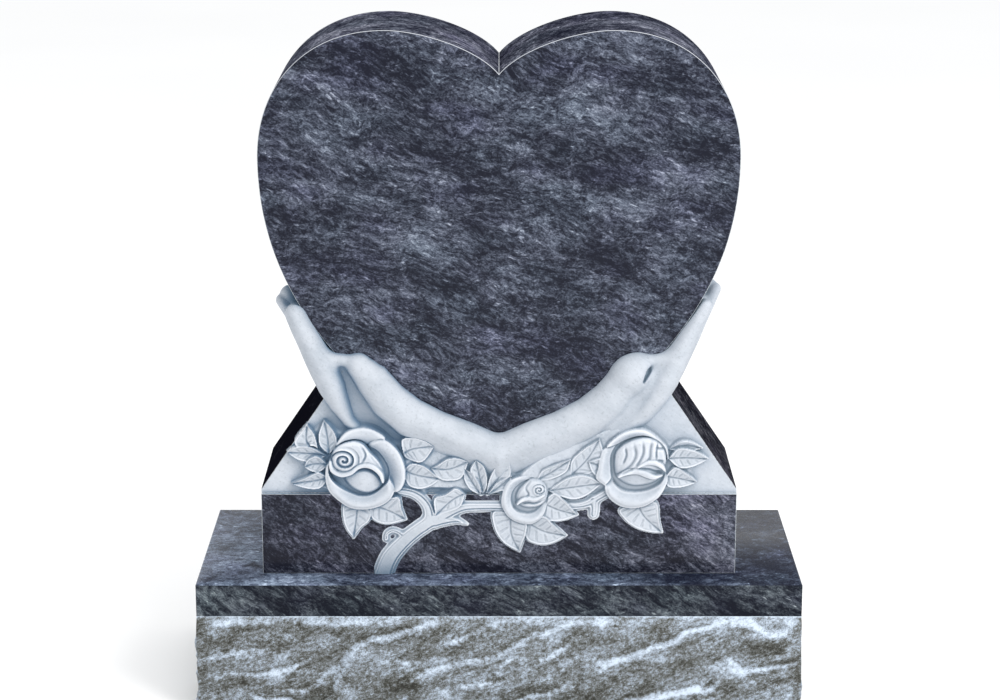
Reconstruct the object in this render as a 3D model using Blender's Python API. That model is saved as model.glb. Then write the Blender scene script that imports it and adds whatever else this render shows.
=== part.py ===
"""Granite monument: a heart-shaped tablet held by two carved hands, standing on a rock-pitched base.

Metres, Z up, X to the viewer's right, the front faces -Y. The origin is the bottom centre of the base.
"""

import math

import bmesh
import bpy
import numpy as np

# Base, one slab: polished on top and round a margin, its four sides pitched to rock below.
BASE_WIDTH = 0.9144
BASE_DEPTH = 0.3556
BASE_HEIGHT = 0.2032
MARGIN = 0.0508
ROCK_BULGE = 0.010
ROCK_ROWS = 8
ROCK_CELLS_WIDE = 34
ROCK_CELLS_DEEP = 13

# Tablet, one carved block: the low block, the heart, the hands and the spray of roses.
BED_JOINT = 0.0003
TABLET_DEPTH = 0.219
FRONT_LEDGE = 0.049
BLOCK_WIDTH = 0.719
STRIP_HEIGHT = 0.127
SHOULDER_HEIGHT = 0.133
SHOULDER_SLOPE = math.radians(55.8)
DRESSED_BACK = 0.006
HEART_WIDTH = 0.708
HEART_HEIGHT = 0.697
HEART_TOP = 1.032
NOTCH_DEPTH = 0.064
WIDEST = 0.728

# Hands. Heights are shares of the heart's height, widths and girths shares of its width.
FINGER_ROOT = 0.165
FINGER_TIPS = (0.418, 0.446, 0.434, 0.385)
FINGER_GIRTH = 0.0312
FINGER_TAPER = ((0.0, 0.95), (0.40, 1.00), (0.58, 0.86), (0.80, 0.60), (1.0, 0.42))
FINGER_STAND_OFF = ((0.0, 0.056), (0.18, 0.058), (0.40, 0.044), (0.58, 0.029), (0.80, 0.018), (1.0, 0.015))
FINGER_SPREAD = 0.009
FINGER_FLATTENING = 0.62
FINGER_SET_BACK = 0.011
FINGER_PITCH = 0.032
FINGER_FILLET = 0.010
BED_SET_BACK = 0.006
BED_OVERLAP = 0.002
FULLNESS = (1.12, 0.96)
PALM = ((0.07, 0.0424), (0.12, 0.0410), (0.18, 0.0381), (0.24, 0.0311))
PALM_STAND_OFF = 0.031
PALM_SET_BACK = 0.063
PALM_FLATTENING = 0.5

# The thumb's line from its tip to the wrist: across, up and girth at each place.
THUMB_LINE = (
    (0.590, 0.280, 0.60),
    (0.530, 0.247, 0.82),
    (0.466, 0.204, 0.90),
    (0.380, 0.168, 0.92),
    (0.265, 0.137, 0.92),
    (0.138, 0.112, 0.92),
    (0.000, 0.094, 0.93),
)
THUMB_GIRTH = 0.0450
THUMB_PROUD = 0.003
THUMB_BACKING = 0.018
THUMB_WEB = ((0.590, 0.280), (0.735, 0.292))
WEB_GIRTH = 0.017
HAND_CELL = 0.006
HAND_TRIANGLES = 3400

# Carved spray, as shares of the block's half width across and of the strip's height up.
LEAF_EDGE = 0.010
LEAF_RIB = 0.006
STEM_HEIGHT = 0.011
LAYER = 0.0006
CARVING_ROOT = 0.030
SAWN_OFF = 0.020

FRONT = -BASE_DEPTH / 2 + FRONT_LEDGE
BACK = FRONT + TABLET_DEPTH
GROUND = FRONT + DRESSED_BACK
BLOCK_FOOT = BASE_HEIGHT + BED_JOINT
STRIP_TOP = BLOCK_FOOT + STRIP_HEIGHT
HEART_TIP = HEART_TOP - HEART_HEIGHT


def clear_scene():
    for item in list(bpy.data.objects):
        bpy.data.objects.remove(item, do_unlink=True)


def granite(name, colour, roughness):
    material = bpy.data.materials.new(name)
    material.use_nodes = True
    shader = material.node_tree.nodes["Principled BSDF"]
    shader.inputs["Base Color"].default_value = (*colour, 1.0)
    shader.inputs["Roughness"].default_value = roughness
    shader.inputs["Metallic"].default_value = 0.0
    return material


def solid(name, points, faces, material=None):
    """A closed mesh object with its faces turned outward."""
    places = [tuple(float(value) for value in point) for point in points]
    corners = [tuple(int(value) for value in face) for face in faces]
    mesh = bpy.data.meshes.new(name)
    mesh.from_pydata(places, [], corners)
    shape = bmesh.new()
    shape.from_mesh(mesh)
    bmesh.ops.recalc_face_normals(shape, faces=shape.faces)
    shape.to_mesh(mesh)
    shape.free()
    mesh.shade_smooth()
    mesh.set_sharp_from_angle(angle=math.radians(32))
    item = bpy.data.objects.new(name, mesh)
    bpy.context.scene.collection.objects.link(item)
    if material:
        item.data.materials.append(material)
    return item


def helper(item):
    item.hide_render = True
    item.display_type = "WIRE"
    return item


def between(first, last, share):
    return first + (last - first) * share


def bezier(start, lead, follow, end, steps):
    """Points of a cubic curve, without its last one."""
    points = []
    for step in range(steps):
        t = step / steps
        weights = ((1 - t) ** 3, 3 * (1 - t) ** 2 * t, 3 * (1 - t) * t**2, t**3)
        corners = (start, lead, follow, end)
        points.append(tuple(sum(w * corner[axis] for w, corner in zip(weights, corners)) for axis in (0, 1)))
    return points


def heart_half():
    """The right half of the heart, from the notch over the lobe and down the side to the tip."""
    half = HEART_WIDTH / 2
    notch = (0.0, HEART_TOP - NOTCH_DEPTH)
    lobe = (0.471 * half, HEART_TOP)
    widest = (half, HEART_TIP + WIDEST * HEART_HEIGHT)
    tip = (0.0, HEART_TIP)
    inner = bezier(
        notch,
        (0.085 * half, notch[1] + 0.053 * HEART_HEIGHT),
        (lobe[0] - 0.152 * half, HEART_TOP),
        lobe,
        6,
    )
    outer = bezier(
        lobe,
        (lobe[0] + 0.331 * half, HEART_TOP),
        (half, widest[1] + 0.153 * HEART_HEIGHT),
        widest,
        9,
    )
    side = bezier(
        widest,
        (half, widest[1] - 0.295 * HEART_HEIGHT),
        (0.655 * half, HEART_TIP + 0.237 * HEART_HEIGHT),
        tip,
        16,
    )
    return inner + outer + side + [tip]


def slope_height(x):
    """Height of the sloping shoulder above the point x across."""
    return BLOCK_FOOT + SHOULDER_HEIGHT + (BLOCK_WIDTH / 2 - x) * math.tan(SHOULDER_SLOPE)


def tablet_half():
    """The right half of the whole tablet's outline: the heart down to the shoulder, then the block."""
    points = []
    for last, point in zip(heart_half(), heart_half()[1:]):
        points.append(last)
        gap = last[1] - slope_height(last[0])
        next_gap = point[1] - slope_height(point[0])
        if gap > 0 > next_gap and last[1] < HEART_TIP + WIDEST * HEART_HEIGHT:
            share = gap / (gap - next_gap)
            points.append((between(last[0], point[0], share), between(last[1], point[1], share)))
            break
    half = BLOCK_WIDTH / 2
    return points + [(half, BLOCK_FOOT + SHOULDER_HEIGHT), (half, BLOCK_FOOT - SAWN_OFF)]


def prism(outline, front, back):
    """Points and faces of an outline in x and z carried from front to back."""
    count = len(outline)
    points = [(x, y, z) for y in (front, back) for x, z in outline]
    faces = [(i, (i + 1) % count, count + (i + 1) % count, count + i) for i in range(count)]
    return points, faces + [tuple(range(count)), tuple(range(count, 2 * count))]


def box(low, high):
    (x0, y0, z0), (x1, y1, z1) = low, high
    return prism([(x0, z0), (x1, z0), (x1, z1), (x0, z1)], y0, y1)


def on_block(across, up):
    """A place on the block's front, in shares of its half width and of the strip's height."""
    return across * BLOCK_WIDTH / 2, BLOCK_FOOT + up * STRIP_HEIGHT


def carved(rows):
    """Closed points and faces from rows of (x, z, height) places, carried back into the block."""
    wide = len(rows[0])
    top = [(x, GROUND - height, z) for row in rows for x, z, height in row]
    root = GROUND + CARVING_ROOT + rows[0][0][2]
    deep = [(x, root, z) for x, _, z in top]
    points = top + deep
    faces = []
    for row in range(len(rows) - 1):
        for step in range(wide - 1):
            a = row * wide + step
            corners = (a, a + 1, a + wide + 1, a + wide)
            faces.append(corners)
            faces.append(tuple(corner + len(top) for corner in reversed(corners)))
    last = (len(rows) - 1) * wide
    rim = [step for step in range(wide)]
    rim += [row * wide + wide - 1 for row in range(1, len(rows))]
    rim += [last + step for step in range(wide - 2, -1, -1)]
    rim += [row * wide for row in range(len(rows) - 2, 0, -1)]
    for first, second in zip(rim, rim[1:] + rim[:1]):
        faces.append((first, second, second + len(top), first + len(top)))
    return points, faces


def leaf(place, reach, turn, width, lift, bend=0.10):
    """A leaf folded along its rib: place is its foot, turn the angle it points to, lift its extra height."""
    turn = math.radians(turn)
    rows = []
    for share, spread in ((0.0, 0.30), (0.2, 0.84), (0.45, 1.0), (0.68, 0.82), (0.86, 0.46), (1.0, 0.03)):
        along = share * reach
        sway = bend * reach * math.sin(math.pi * share)
        row = []
        for side in (-1, 0, 1):
            off = sway + side * spread * width / 2
            x = place[0] + along * math.cos(turn) - off * math.sin(turn)
            z = place[1] + along * math.sin(turn) + off * math.cos(turn)
            row.append((x, z, lift + (LEAF_EDGE if side else between(LEAF_RIB, LEAF_EDGE, share**2))))
        rows.append(row)
    return carved(rows)


def stem(places, widths, lift):
    """A round-backed stem through the places given."""
    rows = []
    for number, (x, z) in enumerate(places):
        before = places[max(number - 1, 0)]
        after = places[min(number + 1, len(places) - 1)]
        run, rise = after[0] - before[0], after[1] - before[1]
        length = math.hypot(run, rise)
        row = []
        for side, share in ((-1, 0.6), (-0.45, 1.0), (0.45, 1.0), (1, 0.6)):
            off = side * widths[number] / 2
            row.append((x - off * rise / length, z + off * run / length, lift + share * STEM_HEIGHT))
        rows.append(row)
    return carved(rows)


def rose(centre, radius, bud):
    """A full-blown rose: five outer petals round a hollow, and a bud set to one side of it."""
    rings = (
        (0.00, 0.36),
        (0.16, 0.42),
        (0.40, 0.40),
        (0.52, 0.33),
        (0.60, 0.18),
        (0.74, 0.30),
        (0.88, 0.30),
        (1.00, 0.12),
    )
    spokes = 25
    heart = (centre[0] + bud[0] * radius, centre[1] + bud[1] * radius)
    points = [(heart[0], GROUND - rings[0][1] * radius, heart[1])]
    for share, lift in rings[1:]:
        for spoke in range(spokes):
            angle = 2 * math.pi * spoke / spokes
            scallop = 1 - 0.09 * abs(math.sin(2.5 * angle)) ** 4 * share**2
            rim = (centre[0] + radius * math.cos(angle), centre[1] + radius * math.sin(angle))
            x = between(heart[0], rim[0], share * scallop)
            z = between(heart[1], rim[1], share * scallop)
            curl = 0.05 * math.cos(5 * angle + 6 * share)
            points.append((x, GROUND - (lift + curl * share) * radius, z))
    faces = [(0, 1 + spoke, 1 + (spoke + 1) % spokes) for spoke in range(spokes)]
    for ring in range(len(rings) - 2):
        first = 1 + ring * spokes
        for spoke in range(spokes):
            beside = (spoke + 1) % spokes
            faces.append((first + spoke, first + beside, first + spokes + beside, first + spokes + spoke))
    edge = 1 + (len(rings) - 2) * spokes
    deep = len(points)
    points += [(x, GROUND + CARVING_ROOT, z) for x, _, z in points[edge : edge + spokes]]
    for spoke in range(spokes):
        beside = (spoke + 1) % spokes
        faces.append((edge + spoke, edge + beside, deep + beside, deep + spoke))
    return points, faces + [tuple(range(deep, deep + spokes))]


def distance_to_chain(where, centres, radii, flattening):
    """Distance from every sample to a chain of balls joined by cones, thicker from front to back."""
    best = None
    stretch = np.array([1.0, flattening, 1.0])
    for start, end, first, last in zip(centres, centres[1:], radii, radii[1:]):
        start, end = np.array(start) * stretch, np.array(end) * stretch
        line = end - start
        off = [axis * scale - origin for axis, scale, origin in zip(where, stretch, start)]
        share = sum(o * component for o, component in zip(off, line)) / (line @ line)
        share = np.clip(share, 0.0, 1.0)
        span = np.sqrt(sum((o - share * component) ** 2 for o, component in zip(off, line)))
        here = span - (first + (last - first) * share)
        best = here if best is None else np.minimum(best, here)
    return best


def blend(one, other, soft):
    """The union of two distance fields with a soft fillet where they meet."""
    overlap = np.clip(soft - np.abs(one - other), 0.0, None) / soft
    return np.minimum(one, other) - overlap**2 * soft / 4


def heart_side():
    """The heart's side below its widest point, as heights rising, half widths and outward directions."""
    side = [point for point in heart_half() if point[1] <= HEART_TIP + WIDEST * HEART_HEIGHT][::-1]
    across, up = np.array(side).T
    run, rise = np.gradient(across), np.gradient(up)
    length = np.hypot(run, rise)
    return up, across, rise / length, -run / length


def beside_heart(height, offset):
    """The place that far out from the heart's side at that height."""
    up, across, out, down = heart_side()
    x = np.interp(height, up, across)
    return x + offset * np.interp(height, up, out), height + offset * np.interp(height, up, down)


def along_profile(share, profile):
    shares, values = zip(*profile)
    return float(np.interp(share, shares, values))


def finger(where, number, tip, fullness):
    """Distance field of one finger along the heart's side, with the stone left between the two."""
    depth = GROUND + FINGER_SET_BACK + number * FINGER_PITCH
    centres, radii, bed, bed_radii = [], [], [], []
    for share in np.linspace(0.0, 1.0, 8):
        stand_off = along_profile(share, FINGER_STAND_OFF) + FINGER_SPREAD * share * min(number, 1)
        stand_off *= HEART_WIDTH
        height = HEART_TIP + HEART_HEIGHT * between(FINGER_ROOT, tip, share)
        girth = along_profile(share, FINGER_TAPER) * between(fullness, 1.0, share)
        x, z = beside_heart(height, stand_off)
        centres.append((x, depth, z))
        radii.append(FINGER_GIRTH * HEART_WIDTH * girth)
        x, z = beside_heart(height, stand_off / 2)
        bed.append((x, depth + BED_SET_BACK, z))
        bed_radii.append(stand_off / 2 + BED_OVERLAP)
    shape = distance_to_chain(where, centres, radii, FINGER_FLATTENING)
    return np.minimum(shape, distance_to_chain(where, bed, bed_radii, 1.0))


def palm(where):
    centres = []
    for up, _ in PALM:
        x, z = beside_heart(HEART_TIP + HEART_HEIGHT * up, PALM_STAND_OFF * HEART_WIDTH)
        centres.append((x, GROUND + PALM_SET_BACK, z))
    return distance_to_chain(where, centres, [girth * HEART_WIDTH for _, girth in PALM], PALM_FLATTENING)


def thumb(where):
    """The thumb and the web of skin beside it, straight-sided behind so that nothing undercuts the block."""
    half = HEART_WIDTH / 2
    middle = GROUND - THUMB_PROUD
    x, y, z = where
    straight = (x, y - np.clip(y - middle, 0.0, THUMB_BACKING), z)
    centres = [(across * half, middle, HEART_TIP + up * HEART_HEIGHT) for across, up, _ in THUMB_LINE]
    radii = [THUMB_GIRTH * HEART_WIDTH * girth for _, _, girth in THUMB_LINE]
    line = distance_to_chain(straight, centres, radii, 1.0)
    web = [(across * half, middle, HEART_TIP + up * HEART_HEIGHT) for across, up in THUMB_WEB]
    return blend(line, distance_to_chain(straight, web, [WEB_GIRTH * HEART_WIDTH] * 2, 1.0), 0.008)


def hand_field(where, fullness):
    """Distance field of the hand on the right of the heart; fullness thickens its fingers' roots."""
    field = finger(where, 0, FINGER_TIPS[0], fullness)
    for number, tip in enumerate(FINGER_TIPS[1:], start=1):
        field = blend(field, finger(where, number, tip, fullness), FINGER_FILLET)
    field = blend(field, palm(where), 0.012)
    return blend(field, thumb(where), 0.010)


def hands_field(where):
    x, y, z = where
    right = hand_field((x, y, z), FULLNESS[0])
    left = hand_field((-x, y, z), FULLNESS[1])
    return blend(left, right, 0.008)


def surface_of(field, corner, cell):
    """Closed points and faces where a sampled field changes sign, one point in each crossed cell."""
    inside = field < 0
    shape = tuple(size - 1 for size in field.shape)
    corners = [(i, j, k) for i in (0, 1) for j in (0, 1) for k in (0, 1)]

    def at(samples, shift):
        return samples[tuple(slice(s, s + size) for s, size in zip(shift, shape))]

    total = np.zeros((*shape, 3))
    count = np.zeros(shape)
    for first in corners:
        for axis in range(3):
            if first[axis]:
                continue
            second = tuple(s + (a == axis) for a, s in enumerate(first))
            one, other = at(field, first), at(field, second)
            crossed = (one < 0) != (other < 0)
            share = np.where(crossed, one / np.where(crossed, one - other, 1.0), 0.0)
            count += crossed
            for a in range(3):
                total[..., a] += crossed * (first[a] + (share if a == axis else 0.0))
    active = count > 0
    number = np.full(shape, -1)
    number[active] = np.arange(active.sum())
    places = np.argwhere(active) + total[active] / count[active][:, None]
    points = np.array(corner) + places * cell
    faces = []
    for axis in range(3):
        low = np.take(inside, range(inside.shape[axis] - 1), axis)
        high = np.take(inside, range(1, inside.shape[axis]), axis)
        crossed = np.argwhere(low != high)
        one, other = [np.eye(3, dtype=int)[a] for a in range(3) if a != axis]
        ring = [crossed, crossed - one, crossed - one - other, crossed - other]
        faces.append(np.stack([number[tuple(cells.T)] for cells in ring], axis=1))
    return points, np.vstack(faces)


def hands():
    """Both hands as one mesh, thinned to its share of the triangles."""
    half = HEART_WIDTH / 2
    thickest = 1.5 * FINGER_GIRTH * HEART_WIDTH / FINGER_FLATTENING
    low = (-1.2 * half, GROUND - 0.08, HEART_TIP - 0.08 * HEART_HEIGHT)
    high = (1.2 * half, GROUND + 0.02 + 3 * FINGER_PITCH + thickest, HEART_TIP + 0.54 * HEART_HEIGHT)
    axes = [np.arange(a, b, HAND_CELL) for a, b in zip(low, high)]
    where = np.meshgrid(*axes, indexing="ij")
    points, faces = surface_of(hands_field(where), low, HAND_CELL)
    item = helper(solid("hands", points, faces))
    even = item.modifiers.new("even", "REMESH")
    even.mode = "VOXEL"
    even.voxel_size = 0.8 * HAND_CELL
    thin = item.modifiers.new("thin", "DECIMATE")
    thin.ratio = HAND_TRIANGLES / (2.9 * len(faces))
    return item


# Each rose: place, radius as a share of the block's width, its bud's offset, and the leaves round it
# as (angle, start and end in radii, width in radii).
ROSES = (
    (
        (-0.573, 1.35),
        0.084,
        (-0.10, 0.20),
        (
            (146, 0.75, 1.62, 0.55),
            (122, 0.75, 1.45, 0.42),
            (171, 0.85, 1.80, 0.36),
            (196, 0.85, 1.85, 0.52),
            (262, 0.85, 1.90, 0.66),
            (311, 0.85, 1.62, 0.58),
            (18, 0.90, 1.85, 0.56),
            (-9, 0.90, 1.92, 0.56),
        ),
    ),
    (
        (0.114, 0.957),
        0.053,
        (0.12, 0.10),
        (
            (9, 0.80, 2.95, 0.92),
            (-22, 0.80, 2.12, 0.94),
            (-52, 0.80, 2.35, 1.10),
            (-94, 0.75, 2.30, 1.12),
            (38, 0.80, 2.00, 0.60),
        ),
    ),
    (
        (0.581, 1.37),
        0.080,
        (0.05, 0.04),
        (
            (25, 0.85, 1.80, 0.30),
            (10, 0.85, 1.88, 0.48),
            (-20, 0.85, 1.72, 0.50),
            (-68, 0.85, 1.98, 0.86),
            (178, 0.85, 1.30, 0.60),
        ),
    ),
)

# Leaves of the sprig between the roses: foot, angle, then length and width as shares of the block's width.
SPRIG = (
    ((-0.262, 1.27), 19, 0.068, 0.042),
    ((-0.125, 1.13), 225, 0.098, 0.054),
    ((-0.084, 0.99), 119, 0.064, 0.036),
    ((-0.075, 1.03), 95, 0.074, 0.038),
    ((-0.050, 1.00), 25, 0.094, 0.046),
    ((-0.047, 1.09), 58, 0.074, 0.034),
    ((0.318, 1.28), 55, 0.080, 0.042),
)

# Stems: the places they pass through and their width at each, in metres.
STEMS = (
    (
        (
            (-0.492, -0.03),
            (-0.460, 0.17),
            (-0.393, 0.42),
            (-0.325, 0.62),
            (-0.235, 0.72),
            (-0.120, 0.83),
            (0.020, 0.84),
        ),
        (0.027, 0.025, 0.023, 0.024, 0.022, 0.018, 0.015),
    ),
    (
        ((-0.295, 0.66), (-0.302, 0.84), (-0.350, 0.98), (-0.430, 1.06), (-0.500, 1.10)),
        (0.016, 0.014, 0.013, 0.013, 0.012),
    ),
    (((-0.385, 0.48), (-0.420, 0.55), (-0.462, 0.54), (-0.476, 0.45)), (0.013, 0.012, 0.011, 0.009)),
    (((-0.225, 0.72), (-0.175, 0.67), (-0.135, 0.63)), (0.014, 0.009, 0.004)),
    (((0.250, 0.87), (0.375, 0.88), (0.455, 1.02), (0.520, 1.10)), (0.013, 0.013, 0.013, 0.012)),
    (((0.378, 0.92), (0.385, 0.72)), (0.013, 0.012)),
)


def spray():
    """Every leaf, rose and stem of the carved spray as its own closed shape."""
    shapes = []
    for place, size, bud, leaves in ROSES:
        centre = on_block(*place)
        radius = size * BLOCK_WIDTH
        for angle, start, end, width in leaves:
            turn = math.radians(angle)
            foot = (centre[0] + start * radius * math.cos(turn), centre[1] + start * radius * math.sin(turn))
            lift = LAYER * (len(shapes) % 6)
            shapes.append(leaf(foot, (end - start) * radius, angle, width * radius, lift))
        shapes.append(rose(centre, radius, bud))
    for place, angle, length, width in SPRIG:
        lift = LAYER * (len(shapes) % 6 + 0.5)
        shapes.append(leaf(on_block(*place), length * BLOCK_WIDTH, angle, width * BLOCK_WIDTH, lift))
    for number, (places, widths) in enumerate(STEMS):
        shapes.append(stem([on_block(*place) for place in places], widths, LAYER * (0.25 - 0.2 * number)))
    return shapes


def cut_away(item, name, shape):
    cut = item.modifiers.new(name, "BOOLEAN")
    cut.operation = "DIFFERENCE"
    cut.solver = "EXACT"
    cut.object = helper(solid(name, *shape))


def settled(item):
    """Swap an object's modifiers for their result, without the pairs of faces that lie back to back."""
    graph = bpy.context.evaluated_depsgraph_get()
    mesh = bpy.data.meshes.new_from_object(item.evaluated_get(graph))
    item.modifiers.clear()
    item.data = mesh
    shape = bmesh.new()
    shape.from_mesh(mesh)
    bmesh.ops.triangulate(shape, faces=shape.faces)
    seen = {}
    for face in shape.faces:
        seen.setdefault(frozenset(corner.index for corner in face.verts), []).append(face)
    doubled = [face for faces in seen.values() if len(faces) > 1 for face in faces]
    bmesh.ops.delete(shape, geom=doubled, context="FACES")
    shape.to_mesh(mesh)
    shape.free()
    mesh.shade_smooth()
    mesh.set_sharp_from_angle(angle=math.radians(32))


def tablet(material):
    """The block and heart dressed back above the strip, then joined to all that is carved on them."""
    right = tablet_half()
    left = [(-x, z) for x, z in reversed(right) if x > 0]
    item = solid("tablet", *prism(right + left, FRONT, BACK), material)
    wide = BLOCK_WIDTH + HEART_WIDTH
    dressing = box((-wide, FRONT - 0.1, STRIP_TOP), (wide, GROUND, HEART_TOP + 0.1))
    cut_away(item, "dressing", dressing)
    carving = bpy.data.collections.new("carving")
    bpy.context.scene.collection.children.link(carving)
    pieces = [hands()] + [helper(solid("shape", *shape)) for shape in spray()]
    for piece in pieces:
        carving.objects.link(piece)
        bpy.context.scene.collection.objects.unlink(piece)
    join = item.modifiers.new("join", "BOOLEAN")
    join.operation = "UNION"
    join.solver = "EXACT"
    join.operand_type = "COLLECTION"
    join.collection = carving
    bed = box((-wide, FRONT - 0.1, BLOCK_FOOT - 2 * SAWN_OFF), (wide, BACK + 0.1, BLOCK_FOOT))
    cut_away(item, "bed", bed)
    settled(item)


def rock_bulge(along, down):
    """How far the pitched rock stands out, from 0 to 1: slanting ridges that die away at the edges."""
    ridge = 1 - abs(math.sin(9.0 * along + 5.0 * down + 1.3 * math.sin(7.0 * along - 3.0 * down)))
    break_up = math.sin(23.0 * along + 11.0 * down) * math.sin(17.0 * down - 8.0 * along + 1.0)
    belly = math.sin(math.pi * min(1.0, down + 0.08)) ** 0.6
    return belly * (0.55 + 0.35 * ridge + 0.25 * break_up)


def ring_at(height, bulge):
    """One ring of points round the base, pushed outward by bulge at each place round it."""
    half_wide, half_deep = BASE_WIDTH / 2, BASE_DEPTH / 2
    sides = (
        ((-half_wide, -half_deep), (half_wide, -half_deep), (0, -1), ROCK_CELLS_WIDE),
        ((half_wide, -half_deep), (half_wide, half_deep), (1, 0), ROCK_CELLS_DEEP),
        ((half_wide, half_deep), (-half_wide, half_deep), (0, 1), ROCK_CELLS_WIDE),
        ((-half_wide, half_deep), (-half_wide, -half_deep), (-1, 0), ROCK_CELLS_DEEP),
    )
    ring = []
    for number, (start, end, outward, cells) in enumerate(sides):
        before = sides[number - 1][2]
        for cell in range(cells):
            share = cell / cells
            push = [outward[axis] + (before[axis] if cell == 0 else 0) for axis in (0, 1)]
            x = between(start[0], end[0], share)
            y = between(start[1], end[1], share)
            out = bulge(number, share)
            ring.append((x + push[0] * out, y + push[1] * out, height))
    return ring


def rock_sides():
    """How far the rock stands out at each row and place of each side, its proudest point at 1."""
    sides = []
    for number in range(4):
        cells = ROCK_CELLS_DEEP if number % 2 else ROCK_CELLS_WIDE
        length = BASE_DEPTH if number % 2 else BASE_WIDTH
        rows = {}
        for row in range(1, ROCK_ROWS + 1):
            for cell in range(cells):
                along = cell / cells * length * 8 + 3.7 * number
                corner = 0.3 if cell == 0 else 1.0
                rows[row, cell / cells] = corner * rock_bulge(along, row / ROCK_ROWS)
        peak = max(rows.values())
        sides.append({place: value / peak for place, value in rows.items()})
    return sides


def base(material):
    """The slab: two plain rings for the polished margin, then rows of pitched rock down to the bed."""
    rock_top = BASE_HEIGHT - MARGIN
    sides = rock_sides()
    rings = [ring_at(BASE_HEIGHT, lambda number, share: 0.0), ring_at(rock_top, lambda number, share: 0.0)]
    for row in range(1, ROCK_ROWS + 1):
        height = rock_top * (1 - row / ROCK_ROWS)
        rings.append(ring_at(height, lambda number, share: ROCK_BULGE * sides[number][row, share]))
    count = len(rings[0])
    points = [point for ring in rings for point in ring]
    faces = [tuple(range(count)), tuple(range(len(points) - count, len(points)))]
    for ring in range(len(rings) - 1):
        for place in range(count):
            a, b = ring * count + place, ring * count + (place + 1) % count
            faces.append((a, b, b + count, a + count))
    solid("base", points, faces, material)


clear_scene()
base(granite("base granite", (0.16, 0.18, 0.20), 0.6))
tablet(granite("tablet granite", (0.10, 0.11, 0.14), 0.35))
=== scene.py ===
"""Granite monument: a heart held by two carved hands over a spray of roses, on a rock-pitched base."""

import math

import bmesh
import bpy
import numpy as np
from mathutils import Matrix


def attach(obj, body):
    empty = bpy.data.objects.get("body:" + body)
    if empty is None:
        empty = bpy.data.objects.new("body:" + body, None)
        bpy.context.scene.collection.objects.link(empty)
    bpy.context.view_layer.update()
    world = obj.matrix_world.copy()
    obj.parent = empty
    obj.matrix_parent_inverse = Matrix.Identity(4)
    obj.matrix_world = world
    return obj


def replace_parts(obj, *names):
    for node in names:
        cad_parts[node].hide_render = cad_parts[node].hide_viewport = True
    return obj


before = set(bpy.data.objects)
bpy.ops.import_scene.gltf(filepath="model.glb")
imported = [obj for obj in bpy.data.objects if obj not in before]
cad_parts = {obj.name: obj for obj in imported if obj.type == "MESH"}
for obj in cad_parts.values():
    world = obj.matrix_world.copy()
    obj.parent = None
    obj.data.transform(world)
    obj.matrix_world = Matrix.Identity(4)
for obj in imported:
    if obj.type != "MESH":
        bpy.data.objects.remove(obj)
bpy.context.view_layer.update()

# Sizes shared with the solids, in metres.
BASE_WIDTH = 0.9144
BASE_DEPTH = 0.3556
BASE_HEIGHT = 0.2032
MARGIN = 0.0508
ROCK_BULGE = 0.010
FRONT = -0.1288
BACK = 0.0902
GROUND = -0.1228
BLOCK_WIDTH = 0.719
BLOCK_FOOT = 0.2035
STRIP_TOP = 0.3305
SHOULDER_HEIGHT = 0.133
SHOULDER_SLOPE = math.radians(55.8)
HEART_WIDTH = 0.708
HEART_HEIGHT = 0.697
HEART_TOP = 1.032
NOTCH_DEPTH = 0.064
WIDEST = 0.728
HEART_TIP = HEART_TOP - HEART_HEIGHT

# Fine sizes that only the visual model has.
ROCK_CELL = 0.0025
ARRIS = 0.0014
TABLET_ARRIS = 0.0008
HAND_CELL = 0.0026


def between(first, last, share):
    return first + (last - first) * share


def smooth(low, high, value):
    share = np.clip((value - low) / (high - low), 0.0, 1.0)
    return share * share * (3.0 - 2.0 * share)


def lattice(seed, size=48):
    """A repeating three-dimensional noise from 0 to 1, smooth between its cells."""
    table = np.random.RandomState(seed).rand(size, size, size).astype(np.float32)

    def noise(x, y, z):
        cells = [np.floor(axis).astype(int) for axis in (x, y, z)]
        parts = [axis - cell for axis, cell in zip((x, y, z), cells)]
        parts = [part * part * (3.0 - 2.0 * part) for part in parts]
        total = 0.0
        for corner in range(8):
            steps = [(corner >> axis) & 1 for axis in range(3)]
            weight = 1.0
            for step, part in zip(steps, parts):
                weight = weight * (part if step else 1.0 - part)
            index = tuple((cell + step) % size for cell, step in zip(cells, steps))
            total += weight * table[index]
        return total

    return noise


def layered(noise, x, y, z, octaves, gain=0.5):
    """Several octaves of a noise, still from 0 to 1."""
    total, weight, whole = 0.0, 1.0, 0.0
    for octave in range(octaves):
        scale = 2.03**octave
        total += weight * noise(x * scale + 7.1 * octave, y * scale + 3.3 * octave, z * scale)
        whole += weight
        weight *= gain
    return total / whole


def blurred(values, reach):
    """The mean over a square round each place, twice over."""
    for _ in range(2):
        for axis in (0, 1):
            margins = [(reach + 1, reach) if a == axis else (0, 0) for a in (0, 1)]
            padded = np.pad(values, margins, mode="edge")
            total = np.cumsum(padded, axis)
            high = np.take(total, range(2 * reach + 1, total.shape[axis]), axis)
            low = np.take(total, range(0, total.shape[axis] - 2 * reach - 1), axis)
            values = (high - low) / (2 * reach + 1)
    return values


def in_scene(name, data):
    item = bpy.data.objects.new(name, data)
    bpy.context.scene.collection.objects.link(item)
    return item


def mesh_object(name, points, faces, materials, slots=None, sharp=None):
    """A smooth-shaded mesh, with sharp edges above an angle in degrees where one is given."""
    mesh = bpy.data.meshes.new(name)
    mesh.from_pydata([tuple(map(float, p)) for p in points], [], [tuple(map(int, f)) for f in faces])
    for material in materials:
        mesh.materials.append(material)
    if slots is not None:
        mesh.polygons.foreach_set("material_index", np.array(slots, np.int32))
    mesh.shade_smooth()
    if sharp:
        mesh.set_sharp_from_angle(angle=math.radians(sharp))
    return in_scene(name, mesh)


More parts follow.
